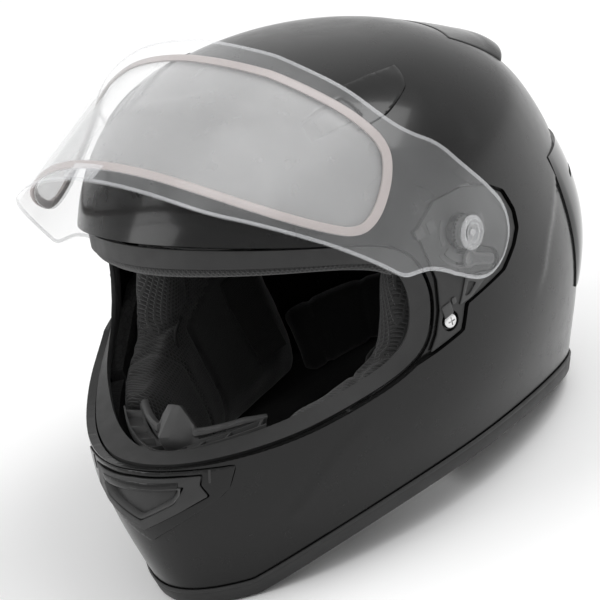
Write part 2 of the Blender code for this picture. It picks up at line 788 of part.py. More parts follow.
def rear_parts():
    tile("rear_spoiler", even(*SPOILER_BEARINGS, 17), *map(constant, SPOILER_HEIGHTS),
         spoiler_top, constant(-GAP), BLACK_MATTE, 4)
    tile("rear_spoiler_inlay", even(*INLAY_BEARINGS, 11), *map(constant, INLAY_HEIGHTS),
         lambda b, share: -INLAY_LIP - INLAY_RISE * share, constant(-GAP), BLACK_GLOSS, 2)
    low, high = EXHAUST_HEIGHTS
    start = EXHAUST_BEARINGS[0]
    for side, name in SIDES:
        tile("rear_exhaust_" + name, [side * b for b in even(*EXHAUST_BEARINGS, 9)],
             lambda b: low + 0.5 * (abs(b) - start), lambda b: high - 0.3 * (abs(b) - start),
             exhaust_top, constant(-GAP), BLACK_GLOSS, 6)


# ---------------------------------------------------------------- shield and its hinge

def shield_point(turn, height, inset):
    """Point of the shut shield; past a quarter turn the wing runs straight back."""
    share = (height - SHIELD_LOW) / (SHIELD_HIGH - SHIELD_LOW)
    front = SHIELD_CHIN + (SHIELD_BROW - SHIELD_CHIN) * share - SHIELD_BULGE * share * (1 - share)
    angle = math.radians(max(-90.0, min(90.0, turn)))
    c, s = math.cos(angle), math.sin(angle)
    back = max(abs(turn) - 90.0, 0.0)
    across = (SHIELD_HALF - inset) * s * (1 - SHIELD_POINT * c * c)
    return Vector((across, PIVOT_Y - (PIVOT_Y - front - inset) * c + back, height))


def shield_wall(name, outer, inner, outline, look, turns):
    """Wall of the shield between two insets, trimmed to a side outline."""
    heights = even(88, 216, 6)
    rows = []
    for turn in turns:
        row = [shield_point(turn, height, outer) for height in heights]
        row += [shield_point(turn, height, inner) for height in reversed(heights)]
        rows.append(row)
    wall = place(name, loft(rows, closed_columns=True, caps=True), look)
    return boolean(wall, prism(name + "_edge", outline, -150, 150), 'INTERSECT')


def shield_parts(swing):
    turns = even(-81, 81, 19)
    wings = [-130, -90] + turns + [90, 130]
    edge = rounded(SHIELD_EDGE, 1)
    shield = shield_wall("face_shield", 0, SHIELD_WALL, edge, CLEAR, wings)
    for side, name in SIDES:
        cut(shield, drum("hub_hole_" + name, PIVOT, Vector((side, 0, 0)), HUB_RADIUS + GAP, 115, 140))
    outline = rounded(LENS_EDGE, 1)
    lens = shield_wall("inner_lens", LENS_INSET, LENS_INSET + LENS_WALL, outline, CLEAR, turns)
    seal = shield_wall("lens_seal", SHIELD_WALL + 0.5, LENS_INSET - 0.5, outline, SILICONE, turns)
    cut(seal, prism("seal_window", offset(outline, -SEAL_WIDTH), -150, 150))
    tab = shield_tab()
    for piece in (shield, lens, seal, tab):
        hang(piece, swing)


def shield_tab():
    """Lift tab on the lower lip of the shield."""
    rows = []
    for turn in even(-5, 5, 5):
        rows.append([shield_point(turn, 96.5, -GAP), shield_point(turn, 96.5, -4.2),
                     shield_point(turn, 99.5, -4.6), shield_point(turn, 106, -1.2),
                     shield_point(turn, 106, -GAP)])
    return place("shield_tab", loft(rows, closed_columns=True, caps=True), CLEAR)


def side_parts():
    for side, name in SIDES:
        outwards = Vector((side, 0, 0))
        plate = panel("side_plate_" + name, sided(PLATE, side), 1.0, SEAT_DEPTH - 0.35, BLACK_MATTE)
        lever = lever_outline()
        centre, out = skin(side * SCREW[0], SCREW[1], 0), skin(side * SCREW[0], SCREW[1], -1)
        facing = out - centre
        cut(plate,
            drum("post_cut_" + name, PIVOT, outwards, GEAR_RADIUS + 0.6, 100, 140),
            prism("lever_cut_" + name, offset(lever, 3.2), side * 100, side * 140),
            drum("screw_cut_" + name, centre, facing, SCREW_RADIUS + GAP, -20, 20))
        plate_screw(name, centre, facing)
        pivot_hub(name, outwards)
        near, far = LEVER_SPAN
        arm = prism("release_lever_" + name, lever, side * near, side * far, BLACK_MATTE)
        hang(arm, axis_empty("lever_axis_" + name, (side * (near + far) / 2, *LEVER_AXIS)))


def lever_outline():
    """Round finger pad with a short arm back to its axis."""
    heading = math.atan2(LEVER_AXIS[1] - LEVER_PAD[1], LEVER_AXIS[0] - LEVER_PAD[0])
    points = []
    for centre, radius, sweep in ((LEVER_PAD, LEVER_RADIUS, range(40, 321, 20)),
                                  (LEVER_AXIS, LEVER_EYE, range(-90, 91, 30))):
        for degrees in sweep:
            angle = heading + math.radians(degrees)
            points.append((centre[0] + radius * math.cos(angle), centre[1] + radius * math.sin(angle)))
    return points


def plate_screw(name, centre, facing):
    """Screw head with a cross recess, square to the shell."""
    head = drum("plate_screw_" + name, centre, facing, SCREW_RADIUS, -SCREW_TOP - SCREW_HEIGHT,
                -SCREW_TOP, STEEL, 20)
    turn = facing.to_track_quat('Z', 'Y').to_matrix().to_4x4()
    for width, height in DRIVE_ARMS:
        bm = bmesh.new()
        bmesh.ops.create_cube(bm, size=2)
        bmesh.ops.scale(bm, verts=bm.verts, vec=(width, height, DRIVE_DEPTH))
        middle = Matrix.Translation(centre - facing * SCREW_TOP)
        bmesh.ops.transform(bm, matrix=middle @ turn, verts=bm.verts)
        cut(head, place("drive_%s_%d" % (name, width * 10), bm))


def pivot_hub(name, outwards):
    """Fixed hub that the wing turns on, with its toothed gear inside and cap outside."""
    gear = drum("shield_gear_" + name, PIVOT, outwards, GEAR_RADIUS, *GEAR_SPAN, BLACK_MATTE, 32)
    cut(gear, drum("gear_cut_" + name, PIVOT, outwards, HUB_RADIUS + GAP, 100, 140))
    hub = drum("pivot_hub_" + name, PIVOT, outwards, HUB_RADIUS, *HUB_SPAN, CLEAR)
    cap = drum("hub_cap_" + name, PIVOT, outwards, HUB_CAP, *CAP_SPAN, None, 32)
    boolean(hub, cap, 'UNION')


# ---------------------------------------------------------------- chin strap

def strap_parts():
    for side, name in SIDES:
        tile("strap_" + name, [side * b for b in even(*STRAP_BEARINGS, 4)],
             constant(STRAP_ENDS[name]), constant(STRAP_TOP), constant(STRAP_DEPTH),
             constant(STRAP_DEPTH + STRAP_WALL), CLOTH, 5)


def main():
    for obj in list(bpy.data.objects):
        bpy.data.objects.remove(obj, do_unlink=True)
    outer_shell()
    base_trim()
    eyeport_gasket()
    eps_crown()
    crown_pad()
    eps_chin()
    cheek_parts()
    neck_roll()
    chin_parts()
    chin_air_grille()
    breath_deflector()
    crown_vents()
    rear_parts()
    swing = axis_empty("shield_swing", PIVOT)
    shield_parts(swing)
    swing.rotation_euler.x = -OPEN_ANGLE
    side_parts()
    strap_parts()


PARTS = collection("motorcycle_helmet")
CUTTERS = collection("cutters")
main()
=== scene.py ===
"""Looks of a full-face motorcycle helmet with its shield swung up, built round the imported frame.

Lengths are millimetres on the frame's axes until a mesh is made: +Z up, -Y to the front, +X to
the wearer's left. A bearing goes round the vertical axis in degrees, from 0 at the chin towards
the wearer's left, and a depth goes inwards from the outer surface of the shell.
"""
import math

import bmesh
import bpy
import numpy as np
from mathutils import Matrix, Vector
from mathutils.geometry import delaunay_2d_cdt


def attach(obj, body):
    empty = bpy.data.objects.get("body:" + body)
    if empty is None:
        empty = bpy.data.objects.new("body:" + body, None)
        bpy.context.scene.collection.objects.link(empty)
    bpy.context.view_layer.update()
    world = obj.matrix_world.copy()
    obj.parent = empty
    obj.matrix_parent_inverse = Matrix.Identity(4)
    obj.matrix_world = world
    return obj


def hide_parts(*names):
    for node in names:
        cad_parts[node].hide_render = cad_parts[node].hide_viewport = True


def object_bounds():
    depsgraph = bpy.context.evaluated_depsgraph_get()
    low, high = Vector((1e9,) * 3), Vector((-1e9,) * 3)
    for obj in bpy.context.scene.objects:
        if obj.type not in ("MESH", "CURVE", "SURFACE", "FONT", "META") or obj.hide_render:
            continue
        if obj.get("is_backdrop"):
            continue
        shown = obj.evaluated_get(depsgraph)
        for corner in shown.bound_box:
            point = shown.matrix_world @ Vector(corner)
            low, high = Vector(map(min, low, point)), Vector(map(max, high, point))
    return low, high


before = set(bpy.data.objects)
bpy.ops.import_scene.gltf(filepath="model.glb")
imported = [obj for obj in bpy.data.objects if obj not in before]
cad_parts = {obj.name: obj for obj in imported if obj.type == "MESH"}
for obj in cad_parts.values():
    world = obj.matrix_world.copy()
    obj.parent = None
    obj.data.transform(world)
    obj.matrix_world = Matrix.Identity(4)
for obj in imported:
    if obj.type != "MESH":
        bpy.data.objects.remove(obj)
CAD_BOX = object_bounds()
MM = 0.001
SHIFT = np.array((0.0, 0.9, 0.0))

# ------------------------------------------------------------------ surface of the shell

# Rings of the shell: height, half width, middle, front and back
RINGS = np.array((
    (250.6, 0.0, -5.0, -5.0, -5.0),
    (248.2, 36.0, -3.0, -39.0, 34.0),
    (242.4, 64.0, 2.0, -64.0, 67.0),
    (231.0, 87.0, 7.0, -87.0, 103.0),
    (209.4, 108.0, 13.0, -109.5, 136.0),
    (185.4, 118.5, 17.0, -126.0, 157.5),
    (154.5, 123.7, 19.0, -142.0, 169.5),
    (123.6, 126.0, 20.0, -156.5, 173.0),
    (92.7, 124.3, 20.0, -169.5, 173.0),
    (61.8, 117.0, 20.0, -173.0, 168.5),
    (30.9, 106.0, 20.0, -168.0, 160.0),
    (0.0, 97.3, 20.0, -159.3, 146.0),
    (-16.0, 94.0, 20.0, -154.0, 137.5),
))
FRONT_POINT = 0.15
BACK_POINT = -0.10
ARCH_HEIGHT, ARCH_MIDDLE, ARCH_REACH, ARCH_POWER = 23.0, -7.0, 136.0, 2.4
SHELL_FOOT = 4.4
SHELL_WALL = 5.0


def natural_spline(knots, values):
    """Second derivatives of the natural cubic spline through the knots."""
    count = len(knots)
    gaps = np.diff(knots)
    slopes = np.diff(values) / gaps
    system = np.eye(count)
    right = np.zeros(count)
    for i in range(1, count - 1):
        system[i, i - 1:i + 2] = gaps[i - 1], 2 * (gaps[i - 1] + gaps[i]), gaps[i]
        right[i] = 6 * (slopes[i] - slopes[i - 1])
    return np.linalg.solve(system, right)


class Profile:
    """One column of the rings as a smooth curve, carried on through the crown."""

    def __init__(self, column, flips):
        steps = len(RINGS)
        values = RINGS[:, column]
        before = values[:0:-1]
        if flips:
            before = 2 * values[0] - before
        self.knots = np.arange(1 - steps, steps) / (steps - 1)
        self.values = np.concatenate((before, values))
        self.bends = natural_spline(self.knots, self.values)

    def __call__(self, station):
        last = len(self.knots) - 2
        i = np.clip(np.searchsorted(self.knots, station) - 1, 0, last)
        width = self.knots[i + 1] - self.knots[i]
        a = (self.knots[i + 1] - station) / width
        b = 1 - a
        bend = (a ** 3 - a) * self.bends[i] + (b ** 3 - b) * self.bends[i + 1]
        return a * self.values[i] + b * self.values[i + 1] + bend * width ** 2 / 6


HEIGHT_AT = Profile(0, False)
HALF_AT = Profile(1, True)
MIDDLE_AT = Profile(2, False)
FRONT_AT = Profile(3, True)
BACK_AT = Profile(4, True)
STATIONS = np.linspace(0, 1, 2401)
HEIGHTS = HEIGHT_AT(STATIONS)


def station_at(height):
    return np.interp(-np.asarray(height, float), -HEIGHTS, STATIONS)


def outer(station, angle):
    """Points of the smooth outer surface."""
    middle = MIDDLE_AT(station)
    front = middle - FRONT_AT(station)
    back = BACK_AT(station) - middle
    c = np.cos(angle)
    pointed = (FRONT_POINT + BACK_POINT) / 2 + (FRONT_POINT - BACK_POINT) / 2 * c
    reach = (front + back) / 2 + (front - back) / 2 * c
    across = HALF_AT(station) * np.sin(angle) * (1 - pointed * c * c)
    return np.stack((across, middle - reach * c, HEIGHT_AT(station) + 0 * c), -1)


def inward(station, angle):
    """Unit normals of the smooth surface, pointing into the helmet."""
    station = np.maximum(station, 2e-3)
    step = 1e-4
    here = outer(station, angle)
    down = outer(station + step, angle) - here
    around = outer(station, angle + step) - here
    normal = np.cross(around, down)
    return normal / np.linalg.norm(normal, axis=-1, keepdims=True)


def skin_at(station, angle, depth):
    station, angle, depth = np.broadcast_arrays(
        np.asarray(station, float), np.asarray(angle, float), np.asarray(depth, float))
    return outer(station, angle) + inward(station, angle) * depth[..., None]


def skin(bearing, height, depth):
    """Points of the helmet by bearing, height of the outer surface and depth."""
    return skin_at(station_at(height), np.radians(bearing), depth)


def rim_height(angle):
    along = outer(station_at(10.0) + 0 * angle, angle)[..., 1] - ARCH_MIDDLE
    reach = np.minimum(np.abs(along) / ARCH_REACH, 1.0)
    return ARCH_HEIGHT * (1 - reach ** ARCH_POWER)


def knots_at(table, bearing):
    """Smooth value at a bearing between knots, the same on both sides."""
    places, values = np.array(table, float).T
    return np.interp(np.abs(bearing), places, values)


def ease(value):
    value = np.clip(value, 0.0, 1.0)
    return value * value * (3 - 2 * value)


# ------------------------------------------------------------------ making meshes

def make(name, points, faces):
    """Object from points in millimetres and faces."""
    mesh = bpy.data.meshes.new(name)
    mesh.from_pydata(((np.asarray(points) + SHIFT) * MM).tolist(), [], faces)
    mesh.validate()
    obj = bpy.data.objects.new(name, mesh)
    bpy.context.scene.collection.objects.link(obj)
    bm = bmesh.new()
    bm.from_mesh(mesh)
    bmesh.ops.recalc_face_normals(bm, faces=bm.faces)
    bm.to_mesh(mesh)
    bm.free()
    return obj


def grid_faces(rows, columns, closed_rows=False, closed_columns=False):
    faces = []
    for i in range(rows if closed_rows else rows - 1):
        for j in range(columns if closed_columns else columns - 1):
            k, m = (j + 1) % columns, (i + 1) % rows
            faces.append((i * columns + j, i * columns + k, m * columns + k, m * columns + j))
    return faces


def loft(name, rows, closed_rows=False, closed_columns=False, caps=False):
    rows = np.asarray(rows, float)
    count, columns = rows.shape[:2]
    faces = grid_faces(count, columns, closed_rows, closed_columns)
    if caps:
        faces += [tuple(range(columns)), tuple(range((count - 1) * columns, count * columns))]
    return make(name, rows.reshape(-1, 3), faces)


def chaikin(outline, passes=2, closed=True):
    """Outline with its corners cut again and again."""
    points = np.asarray(outline, float)
    for _ in range(passes):
        after = np.roll(points, -1, 0)
        cut = np.stack((points * 0.75 + after * 0.25, points * 0.25 + after * 0.75), 1)
        points = cut.reshape(-1, points.shape[1])
        if not closed:
            points = np.concatenate(([outline[0]], points[1:-2], [outline[-1]]))
    return points


def resample(outline, step):
    """Closed outline with even spacing."""
    points = np.asarray(outline, float)
    loop = np.concatenate((points, points[:1]))
    gaps = np.linalg.norm(np.diff(loop[:, :2], axis=0), axis=1)
    along = np.concatenate(([0], np.cumsum(gaps)))
    count = max(8, int(round(along[-1] / step)))
    spots = np.arange(count) * along[-1] / count
    return np.stack([np.interp(spots, along, loop[:, k]) for k in range(points.shape[1])], 1)


def fillet(outline, radius, pieces=5):
    """Flat closed outline whose corners become arcs of about a radius."""
    points = np.asarray(outline, float)
    count = len(points)
    result = []
    for i in range(count):
        here, before, after = points[i], points[i - 1], points[(i + 1) % count]
        back, ahead = before - here, after - here
        reach_back = min(radius, np.linalg.norm(back) * 0.45)
        reach_ahead = min(radius, np.linalg.norm(ahead) * 0.45)
        start = here + back / max(np.linalg.norm(back), 1e-9) * reach_back
        end = here + ahead / max(np.linalg.norm(ahead), 1e-9) * reach_ahead
        for k in range(pieces + 1):
            t = k / pieces
            result.append(start * (1 - t) ** 2 + here * 2 * t * (1 - t) + end * t * t)
    return np.array(result)


def inset(outline, amount):
    """Flat closed outline moved inwards by an amount."""
    points = np.asarray(outline, float)
    after, before = np.roll(points, -1, 0), np.roll(points, 1, 0)
    area = np.sum(points[:, 0] * after[:, 1] - points[:, 1] * after[:, 0])
    turn = 1.0 if area > 0 else -1.0
    one = points - before
    two = after - points
    one /= np.maximum(np.linalg.norm(one, axis=1, keepdims=True), 1e-9)
    two /= np.maximum(np.linalg.norm(two, axis=1, keepdims=True), 1e-9)
    normal = np.stack((-(one[:, 1] + two[:, 1]), one[:, 0] + two[:, 0]), 1) * turn
    share = np.maximum((normal ** 2).sum(1, keepdims=True) / 2, 0.5)
    return points + normal / share * amount


def inside(points, outline):
    """Which points lie inside a flat outline."""
    x, y = points[:, 0], points[:, 1]
    hit = np.zeros(len(points), bool)
    for (x0, y0), (x1, y1) in zip(outline, np.roll(outline, -1, 0)):
        crosses = (y0 > y) != (y1 > y)
        slope = (x1 - x0) * (y - y0) / ((y1 - y0) if y1 != y0 else 1e-12) + x0
        hit ^= crosses & (x < slope)
    return hit


def away(points, outline):
    """Distance from points to a flat closed outline."""
    best = np.full(len(points), 1e9)
    for start, end in zip(outline, np.roll(outline, -1, 0)):
        along = end - start
        size = max(float(along @ along), 1e-12)
        share = np.clip((points - start) @ along / size, 0, 1)
        best = np.minimum(best, np.linalg.norm(points - start - share[:, None] * along, axis=1))
    return best


def filled(loops, step):
    """Points and triangles inside a flat outline and outside its holes, the loops' points first."""
    loops = [np.asarray(loop) for loop in loops]
    low, high = loops[0].min(0), loops[0].max(0)
    columns = np.arange(low[0], high[0], step)
    levels = np.arange(low[1], high[1], step * 0.87)
    grid = np.array([(x + (step / 2 if i % 2 else 0), y) for i, y in enumerate(levels)
                     for x in columns]).reshape(-1, 2)
    keep = inside(grid, loops[0])
    for loop in loops[1:]:
        keep &= ~inside(grid, loop)
    for loop in loops:
        keep &= away(grid, loop) > step * 0.55
    grid = grid[keep]
    points = np.concatenate(loops + [grid])
    edges = []
    start = 0
    for loop in loops:
        edges += [(start + i, start + (i + 1) % len(loop)) for i in range(len(loop))]
        start += len(loop)
    result = delaunay_2d_cdt([Vector(p) for p in points], edges, [], 0, 1e-7)
    triangles = np.array([face for face in result[2] if len(face) == 3])
    spots = np.array([tuple(v) for v in result[0]])
    middle = spots[triangles].mean(1)
    keep = inside(middle, loops[0])
    for loop in loops[1:]:
        keep &= ~inside(middle, loop)
    return spots, triangles[keep]


def slab(name, loops, scale, surface, top, under, edge=0.4, step=2.2):
    """Plate that follows a surface inside an outline, with holes and rounded upper edges.

    loops are in the surface's own coordinates, scale turns those into millimetres, and top and
    under are depths, or functions of the coordinates.
    """
    scale = np.array(scale, float)
    flat = [resample(np.asarray(loop, float) * scale, step * 0.6) for loop in loops]
    tops = [inset(loop, edge if n == 0 else -edge) for n, loop in enumerate(flat)]
    spots, triangles = filled(tops, step)
    counts = [len(loop) for loop in flat]

    def at(where, rule, extra=0.0):
        u, v = (where / scale).T
        depth = rule(u, v) if callable(rule) else np.full(len(u), float(rule))
        return surface(u, v, depth + extra)

    total = len(spots)
    points = [at(spots, top), at(spots, under)]
    faces = [tuple(t) for t in triangles] + [tuple(t[::-1] + total) for t in triangles]
    base = 2 * total
    start = 0
    for loop, upper, count in zip(flat, tops, counts):
        half = upper + (loop - upper) * 0.7
        rings = [(half, top, edge * 0.3), (loop, top, edge)]
        previous = start
        for where, rule, extra in rings:
            points.append(at(where, rule, extra))
            faces += [(previous + i, previous + (i + 1) % count, base + (i + 1) % count, base + i)
                      for i in range(count)]
            previous = base
            base += count
        last = start + total
        faces += [(previous + i, previous + (i + 1) % count, last + (i + 1) % count, last + i)
                  for i in range(count)]
        start += count
    return make(name, np.concatenate(points), faces)


def metric(outline):
    """Millimetres along the shell for one degree and for one unit of height, near an outline."""
    a, b = np.asarray(outline, float).T
    across = np.linalg.norm(skin(a + 1, b, 0) - skin(a - 1, b, 0), axis=1).mean() / 2
    upward = np.linalg.norm(skin(a, b + 0.5, 0) - skin(a, b - 0.5, 0), axis=1).mean()
    return across, upward


def panel(name, loops, top, under, edge=0.4, step=2.2, corner=1.0):
    """Plate on the shell inside an outline given by bearing and height."""
    scale = metric(loops[0])
    smooth = [fillet(np.asarray(loop, float) * scale, corner) / scale for loop in loops]
    return slab(name, smooth, scale, skin, top, under, edge, step)


def mirrored(half):
    """Full outline from a half one that starts and ends on the middle plane."""
    return list(half) + [(-a, b) for a, b in reversed(half) if a]


def sided(outline, side):
    return [(side * a, b) for a, b in outline]


def grown(outline, amount):
    scale = np.array(metric(outline))
    return inset(np.asarray(outline, float) * scale, -amount) / scale


def smooth(obj, angle=35):
    obj.data.shade_smooth()
    obj.data.set_sharp_from_angle(angle=math.radians(angle))
    return obj


def baked(obj):
    """Apply the object's modifiers."""
    bpy.context.view_layer.update()
    graph = bpy.context.evaluated_depsgraph_get()
    mesh = bpy.data.meshes.new_from_object(obj.evaluated_get(graph))
    obj.modifiers.clear()
    old = obj.data
    obj.data = mesh
    bpy.data.meshes.remove(old)
    return obj


def cut(obj, cutter):
    """Take a cutter out of an object and drop the cutter."""
    modifier = obj.modifiers.new(cutter.name, 'BOOLEAN')
    modifier.operation = 'DIFFERENCE'
    modifier.object = cutter
    baked(obj)
    bpy.data.objects.remove(cutter)


def bevelled(obj, width, segments=2, angle=40):
    modifier = obj.modifiers.new("edge", 'BEVEL')
    modifier.width = width * MM
    modifier.segments = segments
    modifier.limit_method = 'ANGLE'
    modifier.angle_limit = math.radians(angle)
    return baked(obj)


def turned(name, centre, axis, profile, count=64):
    """Turned piece: the profile is (radius, distance along the axis)."""
    axis = Vector(axis).normalized()
    turn = np.array(axis.to_track_quat('Z', 'Y').to_matrix())
    rows = []
    for k in range(count):
        angle = 2 * math.pi * k / count
        ray = turn @ np.array((math.cos(angle), math.sin(angle), 0))
        rows.append([np.array(centre) + ray * radius + np.array(axis) * along
                     for radius, along in profile])
    return loft(name, rows, closed_rows=True, closed_columns=True)


def wear(obj, look, body, *nodes):
    """Give a piece its material and slot, its body and the CAD nodes that it stands for."""
    obj.data.materials.clear()
    obj.data.materials.append(look)
    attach(obj, body)
    if nodes:
        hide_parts(*nodes)
    return obj


# ------------------------------------------------------------------ materials

def node_setup(name):
    look = bpy.data.materials.new(name)
    look.use_nodes = True
    tree = look.node_tree
    return look, tree, tree.nodes["Principled BSDF"]


def add(tree, kind, values=None, **settings):
    node = tree.nodes.new(kind)
    for key, value in settings.items():
        setattr(node, key, value)
    for key, value in (values or {}).items():
        node.inputs[key].default_value = value
    return node


def sums(tree, operation, *terms, clamp=False):
    node = add(tree, 'ShaderNodeMath', operation=operation, use_clamp=clamp)
    for socket, term in zip(node.inputs, terms):
        if isinstance(term, (int, float)):
            socket.default_value = term
        else:
            tree.links.new(term, socket)
    return node.outputs[0]


def noise(tree, scale, detail=2.0, rough=0.5):
    """Noise over the piece's own coordinates; the scale is per metre."""
    spot = add(tree, 'ShaderNodeTexCoord').outputs["Object"]
    node = add(tree, 'ShaderNodeTexNoise', {"Scale": scale, "Detail": detail, "Roughness": rough})
    tree.links.new(spot, node.inputs["Vector"])
    return node.outputs["Fac"]


def ramp(tree, factor, low, high, start=0.3, end=0.7):
    node = add(tree, 'ShaderNodeMapRange', {"From Min": start, "From Max": end, "To Min": low,
                                            "To Max": high})
    tree.links.new(factor, node.inputs["Value"])
    return node.outputs["Result"]


def tint(tree, factor, dark, light):
    node = add(tree, 'ShaderNodeMix', data_type='RGBA')
    node.inputs["A"].default_value = (*dark, 1)
    node.inputs["B"].default_value = (*light, 1)
    tree.links.new(factor, node.inputs["Factor"])
    return next(s for s in node.outputs if s.type == 'RGBA')


def bump(tree, height, strength, distance):
    node = add(tree, 'ShaderNodeBump', {"Strength": strength, "Distance": distance})
    tree.links.new(height, node.inputs["Height"])
    return node.outputs["Normal"]


def plain(name, dark, light, rough, grain, grain_size, coat=0.0, coat_rough=0.1, sheen=0.0,
          metallic=0.0, specular=0.5):
    """Moulded or painted surface: fine grain, a slow drift of tone and uneven gloss."""
    look, tree, shader = node_setup(name)
    links = tree.links
    links.new(tint(tree, noise(tree, 38, 4), dark, light), shader.inputs["Base Color"])
    uneven = ramp(tree, noise(tree, 95, 5), rough * 0.88, rough * 1.14)
    links.new(uneven, shader.inputs["Roughness"])
    fine = noise(tree, 1 / (grain_size * MM), 3, 0.6)
    links.new(bump(tree, fine, grain, 0.00012), shader.inputs["Normal"])
    shader.inputs["Coat Weight"].default_value = coat
    shader.inputs["Coat Roughness"].default_value = coat_rough
    shader.inputs["Sheen Weight"].default_value = sheen
    shader.inputs["Metallic"].default_value = metallic
    shader.inputs["Specular IOR Level"].default_value = specular
    return look


def weave_place(tree):
    """The piece's own millimetre coordinates, kept in its UV map."""
    node = add(tree, 'ShaderNodeUVMap', uv_map="weave")
    split = add(tree, 'ShaderNodeSeparateXYZ')
    tree.links.new(node.outputs[0], split.inputs[0])
    return split.outputs[0], split.outputs[1]


# Slope of the mesh fabric's lozenges
MESH_LEAN = 0.62


def spacer_mesh(name, dark, light, pitch=2.5):
    """Spacer fabric: lozenge holes in a knitted face, painted near black for the darker ground
    behind and the shade inside them.
    """
    look, tree, shader = node_setup(name)
    links = tree.links
    u, v = weave_place(tree)
    cells = []
    for sign in (1, -1):
        across = sums(tree, 'MULTIPLY', u, 1 / pitch)
        along = sums(tree, 'MULTIPLY_ADD', v, MESH_LEAN * sign / pitch, across)
        part = sums(tree, 'FRACT', sums(tree, 'ADD', along, 100.0))
        cells.append(sums(tree, 'ABSOLUTE', sums(tree, 'SUBTRACT', part, 0.5)))
    edge = sums(tree, 'MAXIMUM', cells[0], cells[1])
    jitter = sums(tree, 'MULTIPLY', sums(tree, 'SUBTRACT', noise(tree, 700, 2), 0.5), 0.10)
    raised = ramp(tree, sums(tree, 'ADD', edge, jitter), 0.0, 1.0, 0.27, 0.36)
    yarn = noise(tree, 4200, 2, 0.7)
    shade = sums(tree, 'MULTIPLY', raised, ramp(tree, yarn, 0.72, 1.0), clamp=True)
    # The holes are painted near black: the darker ground fabric plus painted shade inside the
    # holes.
    links.new(tint(tree, shade, dark, light), shader.inputs["Base Color"])
    shader.inputs["Roughness"].default_value = 0.86
    shader.inputs["Sheen Weight"].default_value = 0.25
    shader.inputs["Sheen Roughness"].default_value = 0.5
    height = sums(tree, 'MULTIPLY_ADD', yarn, 0.25, raised)
    links.new(bump(tree, height, 0.9, 0.0007), shader.inputs["Normal"])
    return look


def plush(name, dark, light, sheen=0.35):
    """Brushed lining with short pile."""
    look, tree, shader = node_setup(name)
    links = tree.links
    nap = noise(tree, 900, 4, 0.65)
    drift = noise(tree, 60, 3)
    mix = sums(tree, 'MULTIPLY_ADD', nap, 0.6, sums(tree, 'MULTIPLY', drift, 0.5))
    colour = tint(tree, ramp(tree, mix, 0, 1, 0.35, 0.75), dark, light)
    links.new(colour, shader.inputs["Base Color"])
    shader.inputs["Roughness"].default_value = 0.95
    shader.inputs["Sheen Weight"].default_value = sheen
    shader.inputs["Sheen Roughness"].default_value = 0.45
    links.new(bump(tree, nap, 0.55, 0.0006), shader.inputs["Normal"])
    return look


def webbing(name):
    """Ribbed black strap tape, darker in the grooves between the ribs: painted shade."""
    look, tree, shader = node_setup(name)
    links = tree.links
    u, v = weave_place(tree)
    rib = sums(tree, 'ABSOLUTE', sums(tree, 'SINE', sums(tree, 'MULTIPLY', u, 2.4)))
    cross = sums(tree, 'ABSOLUTE', sums(tree, 'SINE', sums(tree, 'MULTIPLY', v, 3.4)))
    height = sums(tree, 'MULTIPLY_ADD', rib, 0.6, cross)
    raised = sums(tree, 'MULTIPLY', height, 0.6, clamp=True)
    # Lighter on the raised ribs and darker in the grooves: painted shade in the weave.
    links.new(tint(tree, raised, (0.006,) * 3, (0.022,) * 3), shader.inputs["Base Color"])
    shader.inputs["Roughness"].default_value = 0.8
    links.new(bump(tree, height, 0.8, 0.0004), shader.inputs["Normal"])
    return look


def beads(name):
    """Expanded foam: pressed beads a few millimetres across."""
    look, tree, shader = node_setup(name)
    links = tree.links
    spot = add(tree, 'ShaderNodeTexCoord').outputs["Object"]
    cell = add(tree, 'ShaderNodeTexVoronoi', {"Scale": 300.0}, feature='DISTANCE_TO_EDGE')
    links.new(spot, cell.inputs["Vector"])
    height = ramp(tree, cell.outputs["Distance"], 0, 1, 0.0, 0.16)
    links.new(tint(tree, height, (0.008,) * 3, (0.022,) * 3), shader.inputs["Base Color"])
    shader.inputs["Roughness"].default_value = 0.8
    links.new(bump(tree, height, 0.5, 0.0004), shader.inputs["Normal"])
    return look


POLYCARBONATE_IOR = 1.58


def clear(name, colour, low, high, rough, coat=0.0):
    """Clear plastic as a whitish veil, a painted reflection of the bright surroundings: faint face
    on, whiter where it is seen edge on.
    """
    look, tree, shader = node_setup(name)
    links = tree.links
    shader.inputs["Base Color"].default_value = (*colour, 1)
    graze = add(tree, 'ShaderNodeLayerWeight', {"Blend": 0.35}).outputs["Facing"]
    # Slow drift in the strength of the painted reflection veil.
    reflection_drift = sums(tree, 'MULTIPLY', sums(tree, 'SUBTRACT', noise(tree, 30, 3), 0.5), 0.05)
    bend = sums(tree, 'POWER', graze, 2.4)
    alpha = sums(tree, 'ADD', sums(tree, 'MULTIPLY_ADD', bend, high - low, low), reflection_drift, clamp=True)
    links.new(alpha, shader.inputs["Alpha"])
    uneven = ramp(tree, noise(tree, 160, 4), rough * 0.8, rough * 1.25)
    links.new(uneven, shader.inputs["Roughness"])
    shader.inputs["IOR"].default_value = POLYCARBONATE_IOR
    shader.inputs["Coat Weight"].default_value = coat
    shader.inputs["Coat Roughness"].default_value = 0.12
    return look


